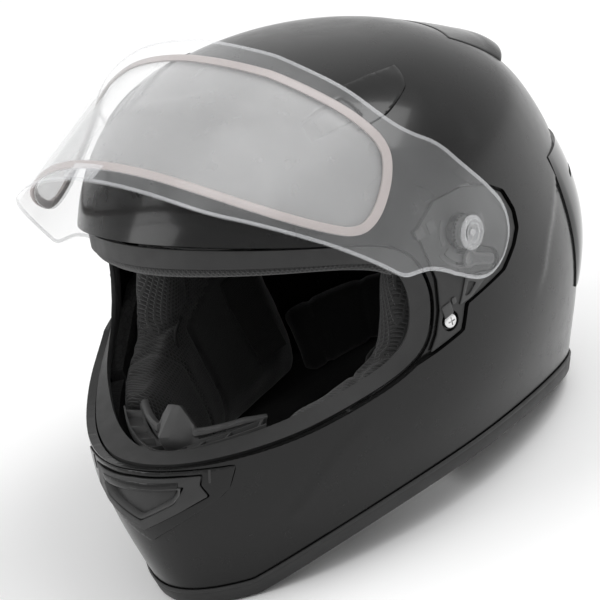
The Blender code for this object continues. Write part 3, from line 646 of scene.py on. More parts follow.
PAINT = plain("satin_gloss_paint", (0.0040,) * 3, (0.0052,) * 3, 0.25, 0.05, 1.2, 0.24, 0.09,
              specular=0.2)
RECESS = plain("moulded_black", (0.008,) * 3, (0.013,) * 3, 0.42, 0.35, 0.35)
MATTE = plain("textured_black", (0.013,) * 3, (0.020,) * 3, 0.50, 0.5, 0.3)
GLOSS = plain("gloss_black", (0.0040,) * 3, (0.0055,) * 3, 0.12, 0.03, 2.0, 0.32, 0.03,
              specular=0.25)
RUBBER = plain("soft_rubber", (0.014,) * 3, (0.022,) * 3, 0.58, 0.35, 0.25, sheen=0.05)
DEFLECTOR = plain("soft_moulding", (0.046,) * 3, (0.062,) * 3, 0.52, 0.4, 0.22)
TRIM = plain("edge_trim", (0.010,) * 3, (0.016,) * 3, 0.50, 0.4, 0.25)
MECHANISM = plain("hinge_moulding", (0.030,) * 3, (0.042,) * 3, 0.30, 0.2, 0.35)
STEEL = plain("bright_screw", (0.62,) * 3, (0.80,) * 3, 0.22, 0.15, 0.5, metallic=1.0)
BEAD = plain("lip_bead", (0.36, 0.315, 0.305), (0.46, 0.41, 0.40), 0.42, 0.25, 0.4)
MESH = spacer_mesh("spacer_mesh", (0.0015,) * 3, (0.021,) * 3)
PLUSH = plush("brushed_lining", (0.004,) * 3, (0.011,) * 3)
CHARCOAL = plush("charcoal_lining", (0.030,) * 3, (0.055,) * 3, 0.5)
# Near-black lining cloth, also used as painted shade for the skirt in the neck opening.
BLACK_CLOTH_AND_SHADE = plush("shadow_lining", (0.002,) * 3, (0.005,) * 3, 0.15)
TAPE = webbing("strap_tape")
FOAM = beads("pressed_foam")
# The whitish veils on the clear parts are painted reflection of the bright studio; the rim's
# stronger veil is a painted highlight on the shield's edge.
SHIELD = clear("clear_shield", (0.86, 0.87, 0.88), 0.055, 0.42, 0.16, 0.2)
SHIELD_RIM = clear("shield_rim", (0.84, 0.85, 0.87), 0.18, 0.60, 0.14, 0.4)
LENS = clear("clear_lens", (0.88, 0.88, 0.88), 0.20, 0.46, 0.36, 0.0)
HUB = clear("clear_hub", (0.86, 0.87, 0.88), 0.16, 0.80, 0.06, 0.8)


# ------------------------------------------------------------------ painted shell

GASKET = (
    (0, 92.5, 5.8, 0, 96.5, 19.0), (20, 90.5, 5.8, 20, 95.5, 18.0), (40, 90.0, 5.8, 39, 96.0, 15.5),
    (52, 94.5, 5.6, 50, 101.0, 12.0), (62, 99.5, 5.0, 59, 105.5, 10.0),
    (68, 107.0, 4.6, 64, 112.0, 8.5), (70.5, 122.0, 4.4, 66.5, 122.0, 8.0),
    (71.5, 140.0, 4.4, 67.5, 140.0, 8.0), (69.5, 159.0, 4.6, 66, 154.0, 8.0),
    (64, 171.0, 5.0, 62, 163.0, 8.0), (52, 181.0, 5.8, 51, 172.5, 8.0),
    (35, 190.5, 5.8, 35, 181.5, 8.0), (18, 196.5, 5.8, 18, 187.5, 8.0),
    (0, 198.5, 5.8, 0, 189.5, 8.0),
)
SEAT = (
    (64, 101.6), (70, 103.5), (76.5, 106.5), (78.5, 119.5), (83, 121), (90, 123), (95, 131),
    (98, 138), (99, 148), (98, 162), (93.5, 172), (87, 180), (78, 182), (66, 178), (60, 150),
)
SEAT_DEPTH = 3.0
# Pockets that the vent frames sit in: depth, gap round the frame, and where their cutters start
POCKET_DEPTH = 2.4
POCKET_GAP = 0.5
ABOVE = -9.0
CROWN_FRAME = (
    (38, 228.6), (46, 235.2), (55, 240.2), (66, 242.2), (82, 242.2), (97, 240.4), (111, 237.2),
    (98.5, 230.6), (83, 227.0), (66, 226.6), (53, 226.4), (44, 225.6), (40, 226.6),
)
CHIN_FRAME = ((0, 89.8), (13.5, 88.8), (21, 87.6), (28, 86), (26, 74), (23, 69), (0, 47))
SIDES = ((1, "left"), (-1, "right"))

# Styling lines on the paint, as bearing and height: the paint on one side of each, by the sign
# of the rise, stands out at the line and fades away from it over a reach
MIDDLE_CREASE = (
    ((-60, 239.0), (-45, 244.8), (-18, 248.7), (0, 249.3), (18, 248.7), (45, 244.8), (60, 239.0)),
    -0.9, 2.0, 22.0,
)
SIDE_CREASES = (
    (((24, 214.5), (27.5, 219.7), (33, 224.5), (38, 229.0), (48, 236.8)), -1.0, 1.6, 14.0),
    (((62, 216), (78, 209), (90, 200.5), (100, 193)), 0.7, 5.0, 16.0),
    (((56, 88), (50, 79), (46.5, 70.5), (40, 52.2), (35, 40)), 0.9, 4.0, 22.0),
    (((97, 88), (108, 118), (119.5, 133), (130, 146), (141, 152), (156, 154)), 0.9, 1.6, 20.0),
)


def all_creases():
    """The middle line, then each side line with its mirror image."""
    yield MIDDLE_CREASE
    for places, rise, width, reach in SIDE_CREASES:
        for side in (1, -1):
            yield sided(places, side), side * rise, width, reach


def relief(points, normals):
    """How far the styling lines lift each point of the paint outwards."""
    lift = np.zeros(points.shape[:-1])
    for places, rise, width, reach in all_creases():
        places = chaikin(places, 2, closed=False)
        line = skin(places[:, 0], places[:, 1], 0)
        total = np.linalg.norm(np.diff(line, axis=0), axis=1).sum()
        best = np.full(lift.shape, 1e9)
        signed = np.zeros_like(lift)
        share = np.zeros_like(lift)
        run = 0.0
        for start, end in zip(line[:-1], line[1:]):
            along = end - start
            size = np.linalg.norm(along)
            t = np.clip((points - start) @ along / size ** 2, 0, 1)
            off = points - start - t[..., None] * along
            gap = np.linalg.norm(off, axis=-1)
            side = np.sign((off * np.cross(along, normals)).sum(-1)) * math.copysign(1, rise)
            nearer = gap < best
            best = np.where(nearer, gap, best)
            signed = np.where(nearer, gap * side, signed)
            share = np.where(nearer, (run + t * size) / total, share)
            run += size
        ends = ease(np.minimum(share, 1 - share) / 0.18)
        step = ease(signed / width + 0.5) * np.exp(-np.maximum(signed, 0) / reach)
        lift += abs(rise) * step * ends
    return lift


def bowl(name, top, under, low, around, down, lifted=False):
    """Closed bowl between two depths, from the crown to the height low(angle)."""
    angles = np.arange(around) * 2 * math.pi / around
    ends = station_at(low(angles))
    share = np.linspace(0, 1, down + 1)[:, None]
    stations = ends[None, :] * share
    turns = angles[None, :] + 0 * stations
    outside = skin_at(stations, turns, top)
    if lifted:
        normals = inward(stations, turns)
        outside = outside - normals * relief(outside, normals)[..., None]
    inside_rows = skin_at(stations, turns, under)[::-1]
    obj = loft(name, np.concatenate((outside, inside_rows)), closed_columns=True)
    bm = bmesh.new()
    bm.from_mesh(obj.data)
    bmesh.ops.remove_doubles(bm, verts=bm.verts, dist=1e-6)
    bm.to_mesh(obj.data)
    bm.free()
    return obj


def plug(name, outline, top, under, front, back):
    """Cutter through the shell inside an outline on it."""
    ring = resample(np.asarray(outline, float) * (2, 1), 3.0) / (2, 1)
    a, b = ring.T
    loops = [skin(a, b, depth) for depth in (top, under)]
    tips = [np.array(tip, float) for tip in (front, back)]
    count = len(ring)
    faces = grid_faces(2, count, closed_columns=True)
    for base, tip in ((0, 2 * count), (count, 2 * count + 1)):
        faces += [(base + i, base + (i + 1) % count, tip) for i in range(count)]
    return make(name, np.concatenate(loops + [tips]), faces)


def port_outline(amount):
    rim = [(row[0], row[1]) for row in GASKET]
    return grown(chaikin(mirrored(rim), 2), amount)


def shell_low(angle):
    return rim_height(angle) + SHELL_FOOT


def crisp(obj):
    """Smooth shading that keeps cut edges crisp."""
    smooth(obj, 28)
    weighted = obj.modifiers.new("shading", 'WEIGHTED_NORMAL')
    weighted.keep_sharp = True
    weighted.weight = 60
    return baked(obj)


def painted_shell():
    around, down = ((320, 120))
    shell = bowl("painted_shell", 0, SHELL_WALL, shell_low, around, down, lifted=True)
    cut(shell, plug("port", port_outline(1.4), -30, 40, (0, -300, 140), (0, -20, 140)))
    chin = grown(mirrored(CHIN_FRAME), POCKET_GAP)
    for side, name in SIDES:
        crown = grown(sided(CROWN_FRAME, side), POCKET_GAP)
        cut(shell, panel("seat_" + name, [sided(SEAT, side)], ABOVE, SEAT_DEPTH, 0.01, 4.0))
        cut(shell, panel("vent_" + name, [crown], ABOVE, POCKET_DEPTH, 0.01, 4.0))
    cut(shell, panel("chin", [chin], ABOVE, POCKET_DEPTH, 0.01, 4.0, 3.0))
    crisp(shell)
    wear(shell, PAINT, "helmet", "outer_shell")


def base_trim():
    """Moulded channel round the lower edge with a groove under its upper lip."""
    section = np.array((
        (-0.2, 0.2), (-1.2, 0.5), (-1.6, 1.4), (-1.6, 7.2), (-1.3, 7.7), (-1.3, 8.3), (-1.6, 8.8),
        (-1.6, 9.8), (-1.2, 10.5), (-0.6, 10.8), (-0.1, 10.4), (0.0, 3.6), (5.6, 3.6), (6.4, 8.4),
        (9.0, 8.0), (13.2, 7.0), (14.0, 6.2), (14.0, 1.0), (13.2, 0.2),
    ))
    angles = np.arange(240) * 2 * math.pi / 240
    foot = rim_height(angles)
    inner = skin_at(station_at(foot), angles, 10.0) - skin_at(station_at(foot), angles, 0.0)
    inner[:, 2] = 0
    inner /= np.linalg.norm(inner, axis=1, keepdims=True)
    rows = [outer(station_at(foot + up), angles) + inner * across for across, up in section]
    trim = loft("base_edge_trim", np.array(rows).transpose(1, 0, 2), True, True)
    wear(smooth(trim, 40), TRIM, "helmet", "base_trim")


def gasket_edges():
    """Outer and inner edge of the eyeport gasket."""
    half = np.array(GASKET, float)
    left = np.concatenate((half, (half * (-1, 1, 1, -1, 1, 1))[-2:0:-1]))
    loop = resample(chaikin(left, 3), 2.2)
    outer_edge = skin(loop[:, 0], loop[:, 1], loop[:, 2])
    inner_edge = skin(loop[:, 3], loop[:, 4], loop[:, 5])
    return outer_edge, inner_edge


def eyeport_gasket():
    """Double-ribbed rubber lip."""
    outer_edge, inner_edge = gasket_edges()
    along = np.roll(outer_edge, -1, 0) - np.roll(outer_edge, 1, 0)
    across = inner_edge - outer_edge
    face = np.cross(across, along)
    face /= np.linalg.norm(face, axis=1, keepdims=True)
    section = (
        (0.00, 0.0), (-0.01, 2.0), (0.01, 3.4), (0.06, 4.3), (0.16, 4.6), (0.25, 4.3), (0.29, 3.3),
        (0.33, 1.7), (0.39, 1.7), (0.43, 3.1), (0.49, 4.0), (0.60, 4.1), (0.69, 3.6), (0.74, 2.6),
        (0.78, 1.6), (0.85, 1.6), (0.89, 2.4), (0.95, 2.5), (1.00, 2.0), (1.00, 0.0),
    )
    rows = np.stack([outer_edge + across * share + face * lift for share, lift in section], 1)
    obj = loft("eyeport_seal", rows, True, True)
    wear(smooth(obj, 50), RUBBER, "helmet", "eyeport_gasket")


# ------------------------------------------------------------------ shield and lens

PIVOT = np.array((0.0, -3.0, 158.0))
OPEN_ANGLE = math.radians(54.0)
SHIELD_WALL = 2.3
SHIELD_EDGE = (
    (-180, 95.2), (-151, 94.2), (-138, 94.8), (-122, 99), (-99, 104), (-79, 108), (-52, 111.5),
    (-37, 112.5), (-29, 120), (-20, 127), (4, 134.5), (18, 139.5), (28, 148), (32.5, 162),
    (29, 177), (15, 186.5), (-3, 187.5), (-26, 188), (-44, 191.5), (-60, 188.5), (-73, 190.5),
    (-89, 198), (-104, 202), (-118, 209), (-180, 209),
)
LENS_EDGE = (
    (-180, 106), (-140, 106), (-112, 109), (-88, 114), (-68, 121), (-60, 136), (-60, 160),
    (-66, 178),
    (-84, 187), (-104, 192), (-118, 196), (-180, 196),
)
LENS_INSET = 5.1


def shield_front(height):
    share = (height - 97.0) / 115.0
    return -168.0 + 52.0 * share - 10.0 * share * (1 - share)


def shield_shut(turn, height, depth):
    """Point of the shut shield; past a quarter turn the wing runs straight back."""
    turn, height, depth = np.broadcast_arrays(
        *(np.asarray(value, float) for value in (turn, height, depth)))
    angle = np.radians(np.clip(turn, -90, 90))
    c, s = np.cos(angle), np.sin(angle)
    across = (127.5 - depth) * s * (1 - 0.14 * c * c)
    reach = PIVOT[1] - shield_front(height) - depth
    along = PIVOT[1] - reach * c + np.maximum(np.abs(turn) - 90, 0)
    return np.stack((across, along, height), -1)


def shield_open(turn, height, depth):
    """Point of the shield swung up, as it stands in the frame."""
    points = shield_shut(turn, height, depth) - PIVOT
    c, s = math.cos(-OPEN_ANGLE), math.sin(-OPEN_ANGLE)
    y, z = points[..., 1] * c - points[..., 2] * s, points[..., 1] * s + points[..., 2] * c
    return np.stack((points[..., 0], y, z), -1) + PIVOT


def shield_loop(edge, passes=2):
    """Outline over the whole shield, as turn and height, from its outline seen from the side."""
    points = chaikin(edge, passes)
    half = []
    for y, z in points:
        if y > PIVOT[1]:
            half.append((90 + y - PIVOT[1], z))
            continue
        c = (PIVOT[1] - y) / (PIVOT[1] - shield_front(z))
        if c < 1:
            half.append((math.degrees(math.acos(c)), z))
    half = np.array(half)
    start = int(np.argmax(np.where(half[:, 1] < 130, -half[:, 0], -1e9)))
    half = np.roll(half, -start, 0)
    half[0, 0], half[-1, 0] = 0, 0
    return np.concatenate((half, (half * (-1, 1))[-2:0:-1]))


def hole_loop(side, radius, count=40):
    """Round hole for the hub in a wing, as turn and height."""
    angles = np.arange(count) * 2 * math.pi / count
    y, z = PIVOT[1] + radius * np.cos(angles), PIVOT[2] + radius * np.sin(angles)
    back = np.maximum(y - PIVOT[1], 0)
    reach = PIVOT[1] - shield_front(z)
    c = np.clip((PIVOT[1] - y) / reach, 0, 1)
    return np.stack((side * (np.degrees(np.arccos(c)) + back), z), 1)


def shield_pieces():
    scale = (2.3, 1.0)
    edge = shield_loop(SHIELD_EDGE)
    shield = slab("clear_shield", [edge, hole_loop(1, 5.0), hole_loop(-1, 5.0)], scale, shield_open,
                  0.0, SHIELD_WALL, 0.5, 3.0)
    wear(smooth(shield, 50), SHIELD, "shield", "face_shield")
    lens_edge = shield_loop(LENS_EDGE)
    lens = slab("inner_lens_sheet", [lens_edge], scale, shield_open, LENS_INSET, LENS_INSET + 1.2,
                0.3, 3.0)
    wear(smooth(lens, 50), LENS, "shield", "inner_lens")
    flat = resample(lens_edge * scale, 2.5)
    bead_ring(flat, scale)
    lift_tab()
    rim_strip(edge, scale)


def bead_ring(flat, scale):
    """Soft bead between the shield and the lens, rounded on its inner side."""
    rows = []
    section = ((0.0, 2.9), (1.2, 2.7), (3.6, 2.7), (4.8, 2.9), (5.0, 3.7), (4.8, 4.5), (3.6, 4.7),
               (1.2, 4.7), (0.0, 4.5), (-0.2, 3.7))
    for across, depth in section:
        ring = inset(flat, across) / scale
        rows.append(shield_open(ring[:, 0], ring[:, 1], depth))
    bead = loft("lens_bead", np.array(rows).transpose(1, 0, 2), True, True)
    wear(smooth(bead, 60), BEAD, "shield", "lens_seal")


def rim_strip(edge, scale):
    """Thickened lip that the clear edge shows along the lower front and the wings; its stronger
    whitish veil is a painted highlight on that edge.
    """
    flat = resample(edge * scale, 2.5)
    rows = []
    for across, depth in ((0.15, -0.35), (1.5, -0.5), (2.2, -0.1), (1.6, 0.05), (0.3, 0.05)):
        ring = inset(flat, across) / scale
        rows.append(shield_open(ring[:, 0], ring[:, 1], depth))
    strip = loft("shield_lip", np.array(rows).transpose(1, 0, 2), True, True)
    wear(smooth(strip, 60), SHIELD_RIM, "shield")


def lift_tab():
    """Finger tab on the lower lip, with a scooped upper face."""
    turns = np.linspace(-5.2, 5.2, 15)
    rows = []
    for turn in turns:
        fade = ease((1 - abs(turn) / 5.2) / 0.25)
        section = (
            (96.2, -0.5), (95.8, -2.2 * fade - 0.6), (96.6, -4.0 * fade - 0.6),
            (98.4, -4.4 * fade - 0.6), (100.6, -2.6 * fade - 0.6), (104.5, -1.1 * fade - 0.5),
            (106.5, -0.5),
        )
        rows.append([shield_open(turn, height, depth) for height, depth in section])
    tab = loft("shield_lift_tab", rows, closed_columns=True, caps=True)
    wear(smooth(tab, 60), SHIELD_RIM, "shield", "shield_tab")


# ------------------------------------------------------------------ chin vent

CHIN_COVER = ((0, 86.6), (14, 85.6), (19.9, 84.6), (19.2, 79.4), (20.9, 72.6), (0, 56))
SHUTTER_EDGE = ((0, 84.5), (14.0, 83.4), (13.4, 78.6), (0, 79.2))
CHIN_MOUTH = ((0, 79.4), (13.6, 78.6), (11.5, 73.2), (0, 64.0))
MOUTH_LIP = 1.9


def chin_vent():
    """Frame, raised V-shaped cover with a sunken mouth, and the sliding shutter above it."""
    def frame_top(a, b):
        return -0.9 - 0.5 * ease((86 - b) / 20)

    def cover_top(a, b):
        off_middle = np.abs(a)
        swell = 1.4 * ease((80 - b) / 10) * (1 - 0.5 * (off_middle / 21))
        return -2.4 - swell + 0.9 * ease((off_middle - 13) / 5)

    def floor_top(a, b):
        return 0.6 + 1.4 * ease((b - 66) / 14)

    def shutter_top(a, b):
        return -2.5 - 0.5 * np.sin(np.pi * np.clip((b - 78.6) / 5.6, 0, 1))

    frame_loops = [mirrored(CHIN_FRAME), grown(mirrored(CHIN_COVER), 0.6)]
    frame_obj = panel("chin_frame", frame_loops, frame_top, 1.8, 0.5, 1.8)
    wear(smooth(frame_obj, 30), PAINT, "helmet", "chin_vent_frame")
    for side, name in SIDES:
        split = [(side * a, b) for a, b in ((21.6, 87.0), (22.2, 87.0), (22.0, 79.6), (21.4, 79.6))]
        line = panel("chin_seam_" + name, [split], -1.25, 0.5, 0.05, 1.0, 0.1)
        wear(smooth(line), RUBBER, "helmet")
    mouth = mirrored(CHIN_MOUTH)
    cover_loops = [mirrored(CHIN_COVER), grown(mouth, MOUTH_LIP)]
    cover = panel("chin_cover", cover_loops, cover_top, 1.8, 0.6, 1.6)
    wear(smooth(cover, 26), MATTE, "helmet", "chin_vent_cover")
    scale = metric(mouth)
    rim = resample(fillet(np.array(mouth) * scale, 2.0), 1.6)
    rows = []
    for amount, depth in ((MOUTH_LIP + 0.1, -2.6), (MOUTH_LIP * 0.7, -3.0), (0.6, -1.6), (0.0, 0.4),
                          (-0.2, 1.6), (MOUTH_LIP, 1.6)):
        ring = inset(rim, -amount) / scale
        rows.append(skin(ring[:, 0], ring[:, 1], depth))
    lip = loft("chin_mouth_lip", np.array(rows).transpose(1, 0, 2), True, True)
    wear(smooth(lip, 60), DEFLECTOR, "helmet")
    floor = panel("chin_mouth_floor", [mouth], floor_top, 2.3, 0.1, 2.0)
    wear(smooth(floor), MATTE, "helmet", "chin_vent_grille")
    shutter = panel("chin_shutter_bar", [mirrored(SHUTTER_EDGE)], shutter_top, 0.8, 0.5, 1.6)
    wear(smooth(shutter, 40), PAINT, "chin_shutter", "chin_vent_shutter")


# ------------------------------------------------------------------ crown vents

CROWN_SLOT = ((56.5, 237.4), (66, 239.3), (77.3, 239.6), (76.3, 230.8), (66, 230.3), (56.5, 229.8))
CROWN_SLIDER = ((60.8, 236.6), (68, 238.2), (76.7, 239.0), (75.8, 231.3), (68, 231), (60.8, 230.8))


def crown_vents():
    """Pointed frames beside the crown, each with its own sliding shutter."""
    def top(a, b):
        return -0.5 - 0.7 * ease((np.abs(a) - 40) / 30) * ease((112 - np.abs(a)) / 12)

    for side, name in SIDES:
        outline = sided(CROWN_FRAME, side)
        slot = sided(CROWN_SLOT, side)
        frame_obj = panel("crown_frame_" + name, [outline, slot], top, 1.8, 0.6, 1.8)
        wear(smooth(frame_obj, 30), PAINT, "helmet", "crown_vent_" + name)
        floor = panel("crown_well_" + name, [grown(slot, 0.4)], 1.9, 2.3, 0.05, 2.5)
        wear(smooth(floor), RUBBER, "helmet")
        slider = panel("crown_shutter_" + name, [sided(CROWN_SLIDER, side)],
                       lambda a, b: -0.1 - 0.5 * ease((b - 231) / 5), 1.3, 0.5, 1.6)
        wear(smooth(slider, 40), RECESS, "vent_slider_" + name, "crown_slider_" + name)


# ------------------------------------------------------------------ spoiler and exhausts

def ridge(name, bearings, heights, rise, base, count):
    """Closed raised piece on the shell over a patch of bearings and heights."""
    u = np.linspace(0, 1, count[0])[:, None]
    v = np.linspace(0, 1, count[1])[None, :]
    low, high = (np.asarray(h(bearings[0] + (bearings[1] - bearings[0]) * u) if callable(h) else h)
                 for h in heights)
    a = bearings[0] + (bearings[1] - bearings[0]) * u + 0 * v
    b = low + (high - low) * v + 0 * u
    top = skin(a, b, -rise(u + 0 * v, v + 0 * u))
    under = skin(a, b, base)
    rows = np.concatenate((top, under[:, ::-1]), 1)
    return loft(name, rows, closed_columns=True, caps=True)


def rear_pieces():
    def lip(u, v):
        ends = 1 - (2 * u - 1) ** 4
        return 0.4 + 8.2 * ends * (1 - v) ** 1.2 + 0.7 * ends * np.sin(np.pi * np.clip(v * 3, 0, 1))

    def low_edge(a):
        return 189.6 + 5.0 * (np.abs(a - 180) / 34) ** 2

    spoiler = ridge("spoiler", (145.5, 214.5), (low_edge, 221.5), lip, 0.3, (61, 22))
    wear(smooth(bevelled(spoiler, 0.8), 40), PAINT, "helmet", "rear_spoiler")

    def vane(u, v):
        return 1.4 + 5.4 * v ** 1.3 * (1 - (2 * u - 1) ** 6)

    def inlay_low(a):
        return 177.6 + 3.4 * (np.abs(a - 180) / 23) ** 2

    inlay = ridge("spoiler_inlay", (157, 203), (inlay_low, 188.6), vane, 0.3, (41, 8))
    wear(smooth(bevelled(inlay, 0.5), 40), GLOSS, "helmet", "rear_spoiler_inlay")

    def swell(u, v):
        return 1.0 + 3.7 * np.sin(np.pi * u) ** 0.5 * np.sin(np.pi * (0.06 + 0.88 * v)) ** 0.8

    def housing_low(a):
        return 66 + 0.5 * (np.abs(a) - 122)

    def housing_high(a):
        return 150 - 0.3 * (np.abs(a) - 122)

    for side, name in SIDES:
        housing = ridge("exhaust_" + name, (side * 122, side * 152), (housing_low, housing_high),
                        swell, 0.3, (25, 49))
        for low, high in ((84, 88), (124, 128)):
            slot = sided(((131, low), (145, low + 2), (145, high + 2), (131, high)), side)
            cut(housing, panel("slot_%s_%d" % (name, low), [slot], ABOVE, -2.2, 0.05, 3.0, 1.5))
        wear(smooth(housing, 32), GLOSS, "helmet", "rear_exhaust_" + name)


# ------------------------------------------------------------------ side plates and hinge

PLATE = (
    (68.6, 104.4), (76, 107.6), (78, 120.4), (83, 121.9), (89.5, 124), (94.4, 131.6), (97.3, 138.5),
    (98.3, 148), (97.3, 161.5), (92.9, 171.2), (86.8, 178.9), (78, 180.8), (71.4, 171), (72.3, 157),
    (73, 141), (72, 124), (70.4, 112),
)
SCREW = (73.9, 115.8)
SCREW_RADIUS = 4.2
LEVER_AXIS = np.array((13.0, 133.5))
LEVER_PAD = np.array((-4.5, 142.3))


def side_outline(points, side):
    """Bearing and height of places seen from the side, as (y, z)."""
    result = []
    for y, z in points:
        bearings = np.linspace(40, 130, 361)
        line = skin(bearings, z + 0 * bearings, 0)
        result.append((side * float(np.interp(y, line[:, 1], bearings)), z))
    return result


def arc(centre, radius, start, end, count=12):
    angles = np.radians(np.linspace(start, end, count))
    return [(centre[0] + radius * math.cos(t), centre[1] + radius * math.sin(t)) for t in angles]


def ring_sector(inner, outer_radius, start, end):
    centre = (PIVOT[1], PIVOT[2])
    return arc(centre, outer_radius, start, end) + arc(centre, inner, end, start)


# Mouldings on the side plate: name, outline seen from the side and depth of the face
RAISED = (
    ("crescent", ring_sector(12.2, 16.8, 200, 292), 0.55),
    ("ratchet", ring_sector(12.2, 15.4, 128, 188), 0.65),
    ("guard", ring_sector(18.4, 20.0, 196, 262), 0.7),
    ("stop", ring_sector(12.4, 19.5, -28, 8), 0.75),
    ("rail", ((-24, 184.5), (4, 183.6), (16, 178.8), (15, 176.8), (3, 181.4), (-24, 182.4)), 0.6),
    ("block_high", ((-31, 171.5), (-25.5, 172), (-25.5, 166.5), (-31, 166)), 0.5),
    ("block_mid", ((-23, 172.5), (-17.5, 173), (-17.5, 166), (-23, 165.5)), 0.45),
    ("block_low", ((-31, 125.6), (-24.5, 126.6), (-24.2, 119.6), (-30.7, 118.4)), 0.35),
    ("catch", ((-23.6, 127.4), (-20.4, 127.6), (-20.6, 124), (-23.6, 123.6)), 0.3),
)


def side_pieces():
    for side, name in SIDES:
        outwards = (side, 0, 0)
        hub = (0.0, PIVOT[1], PIVOT[2])
        space = arc(LEVER_PAD, 8.6, 60, 250, 14) + arc(LEVER_AXIS, 6.2, -110, 60, 8)
        lever_space = side_outline(space, side)
        well = side_outline(arc((hub[1], hub[2]), 10.2, 0, 345, 24), side)
        screw_place = skin(side * SCREW[0], SCREW[1], 0)
        facing = skin(side * SCREW[0], SCREW[1], -1) - screw_place
        hole = side_outline(arc(screw_place[1:], SCREW_RADIUS + 1.6, 0, 345, 24), side)
        loops = [sided(PLATE, side), well, lever_space, hole]
        plate = panel("hinge_plate_" + name, loops, 1.1, 2.65, 0.35, 1.8, 0.5)
        wear(smooth(plate, 40), MATTE, "helmet", "side_plate_" + name)
        for label, outline, depth in RAISED:
            piece = panel("hinge_%s_%s" % (label, name), [side_outline(outline, side)], depth, 2.0,
                          0.3, 1.6, 0.6)
            wear(smooth(piece, 40), MECHANISM, "helmet")
        bracket(name, side)
        screw(name, screw_place, facing)
        gear_and_hub(name, side, hub, outwards)
        lever(name, side)


def bracket(name, side):
    """Raised loop below the lever, with an open middle."""
    loop = [(-17, 124.5), (-9.8, 135.0), (-4, 130.4), (3.4, 130.0), (4.4, 127.4), (-2, 124.8),
            (-10.5, 121.8), (-19.5, 121.6)]
    gap = [(-14.3, 124.6), (-9.2, 131.2), (-4.2, 128.0), (-11, 124.2)]
    loops = [side_outline(loop, side), side_outline(gap, side)]
    piece = panel("hinge_bracket_" + name, loops, 0.2, 2.0, 0.4, 1.4, 0.8)
    wear(smooth(piece, 40), MECHANISM, "helmet")


def screw(name, place, facing):
    """Pan head with a cross recess, in a counterbore."""
    facing = facing / np.linalg.norm(facing)
    profile = [(0.0, -2.4), (SCREW_RADIUS, -2.4), (SCREW_RADIUS, -1.4), (SCREW_RADIUS * 0.96, -0.9),
               (SCREW_RADIUS * 0.82, -0.45), (SCREW_RADIUS * 0.5, -0.2), (0.0, -0.1)]
    head = turned("screw_" + name, place, facing, profile, 40)
    bm = bmesh.new()
    bm.from_mesh(head.data)
    bmesh.ops.remove_doubles(bm, verts=bm.verts, dist=1e-6)
    bm.to_mesh(head.data)
    bm.free()
    turn = Vector(facing).to_track_quat('Z', 'Y').to_matrix()
    for width, height in ((0.45, 2.3), (2.3, 0.45)):
        corners = np.array([(x * width, y * height, z) for z in (-1.5, 0.5)
                            for x, y in ((-1, -1), (1, -1), (1, 1), (-1, 1))])
        spots = corners @ np.array(turn).T + place
        faces = [(0, 1, 2, 3), (4, 5, 6, 7), (0, 1, 5, 4), (1, 2, 6, 5), (2, 3, 7, 6), (3, 0, 4, 7)]
        cut(head, make("drive_%s_%d" % (name, int(width)), spots, faces))
    wear(smooth(head, 40), STEEL, "helmet", "plate_screw_" + name)


def gear_and_hub(name, side, hub, outwards):
    teeth = 26
    angles = np.arange(teeth * 4) * 2 * math.pi / (teeth * 4)
    radius = 9.4 - 0.8 * (np.arange(teeth * 4) % 4 < 2)
    circle = np.stack((0 * angles, radius * np.cos(angles), radius * np.sin(angles)), 1) + hub
    inner = np.stack((0 * angles, 5.1 * np.cos(angles), 5.1 * np.sin(angles)), 1) + hub
    near, far = np.array((side * 122.1, 0, 0)), np.array((side * 123.8, 0, 0))
    rows = [circle + near, circle + far, inner + far, inner + near]
    gear = loft("gear_" + name, rows, closed_rows=True, closed_columns=True)
    wear(smooth(gear, 30), MECHANISM, "helmet", "shield_gear_" + name)
    profile = [(0.01, 120.2), (4.5, 120.2), (4.5, 127.9), (9.2, 127.95), (9.55, 128.3),
               (9.55, 129.3),
               (9.1, 129.9), (7.9, 130.15), (7.2, 129.9), (6.9, 129.0), (6.2, 128.9), (5.8, 129.8),
               (5.2, 130.1), (4.6, 129.8), (4.4, 128.9), (0.01, 128.8)]
    cap = turned("hub_" + name, hub, outwards, profile, 64)
    wear(smooth(cap, 35), HUB, "helmet", "pivot_hub_" + name)
    pin = turned("hub_pin_" + name, hub, outwards,
                 [(0.01, 128.9), (1.9, 128.9), (2.2, 129.1), (2.0, 129.5), (1.2, 129.6),
                  (0.01, 129.6)], 32)
    wear(smooth(pin, 40), HUB, "helmet")


def lever(name, side):
    """Finger pad on a short arm."""
    heading = math.atan2(*(LEVER_AXIS - LEVER_PAD)[::-1])
    turn = math.degrees(heading)
    outline = np.array(arc(LEVER_PAD, 5.2, turn + 40, turn + 320, 24)
                       + arc(LEVER_AXIS, 3.0, turn - 90, turn + 90, 9))
    rows = []
    for amount, along in ((0, 123.0), (0, 123.9), (0.4, 124.25), (1.3, 124.3), (1.7, 124.0)):
        ring = inset(outline, amount)
        rows.append(np.stack((side * along + 0 * ring[:, 0], ring[:, 0], ring[:, 1]), 1))
    arm = loft("lever_arm_" + name, rows, closed_columns=True, caps=True)
    wear(smooth(arm, 40), MECHANISM, "lever_" + name, "release_lever_" + name)


# ------------------------------------------------------------------ padding

CHEEK_TOP = (
    (34, 86), (46, 92), (60, 100), (64, 106), (69, 154), (72, 156), (76, 143), (84, 127),
    (106, 120),
)
CHEEK_FACE = ((34, 34), (44, 42), (60, 46), (84, 47), (96, 45), (106, 38))
LINER_EDGE = (
    (0, 202), (18, 200), (35, 195), (52, 187), (62, 180), (72, 168), (82, 146), (108, 136),
    (122, 96), (136, 60), (180, 56),
)


# Middle, half width and half length of the shell seen from above, and the fabric's own measures
HEAD_MIDDLE = 20.0
HEAD_HALF = 122.0
HEAD_REACH = 170.0
WALL_RADIUS = 88.0
END_SHARE = 0.8


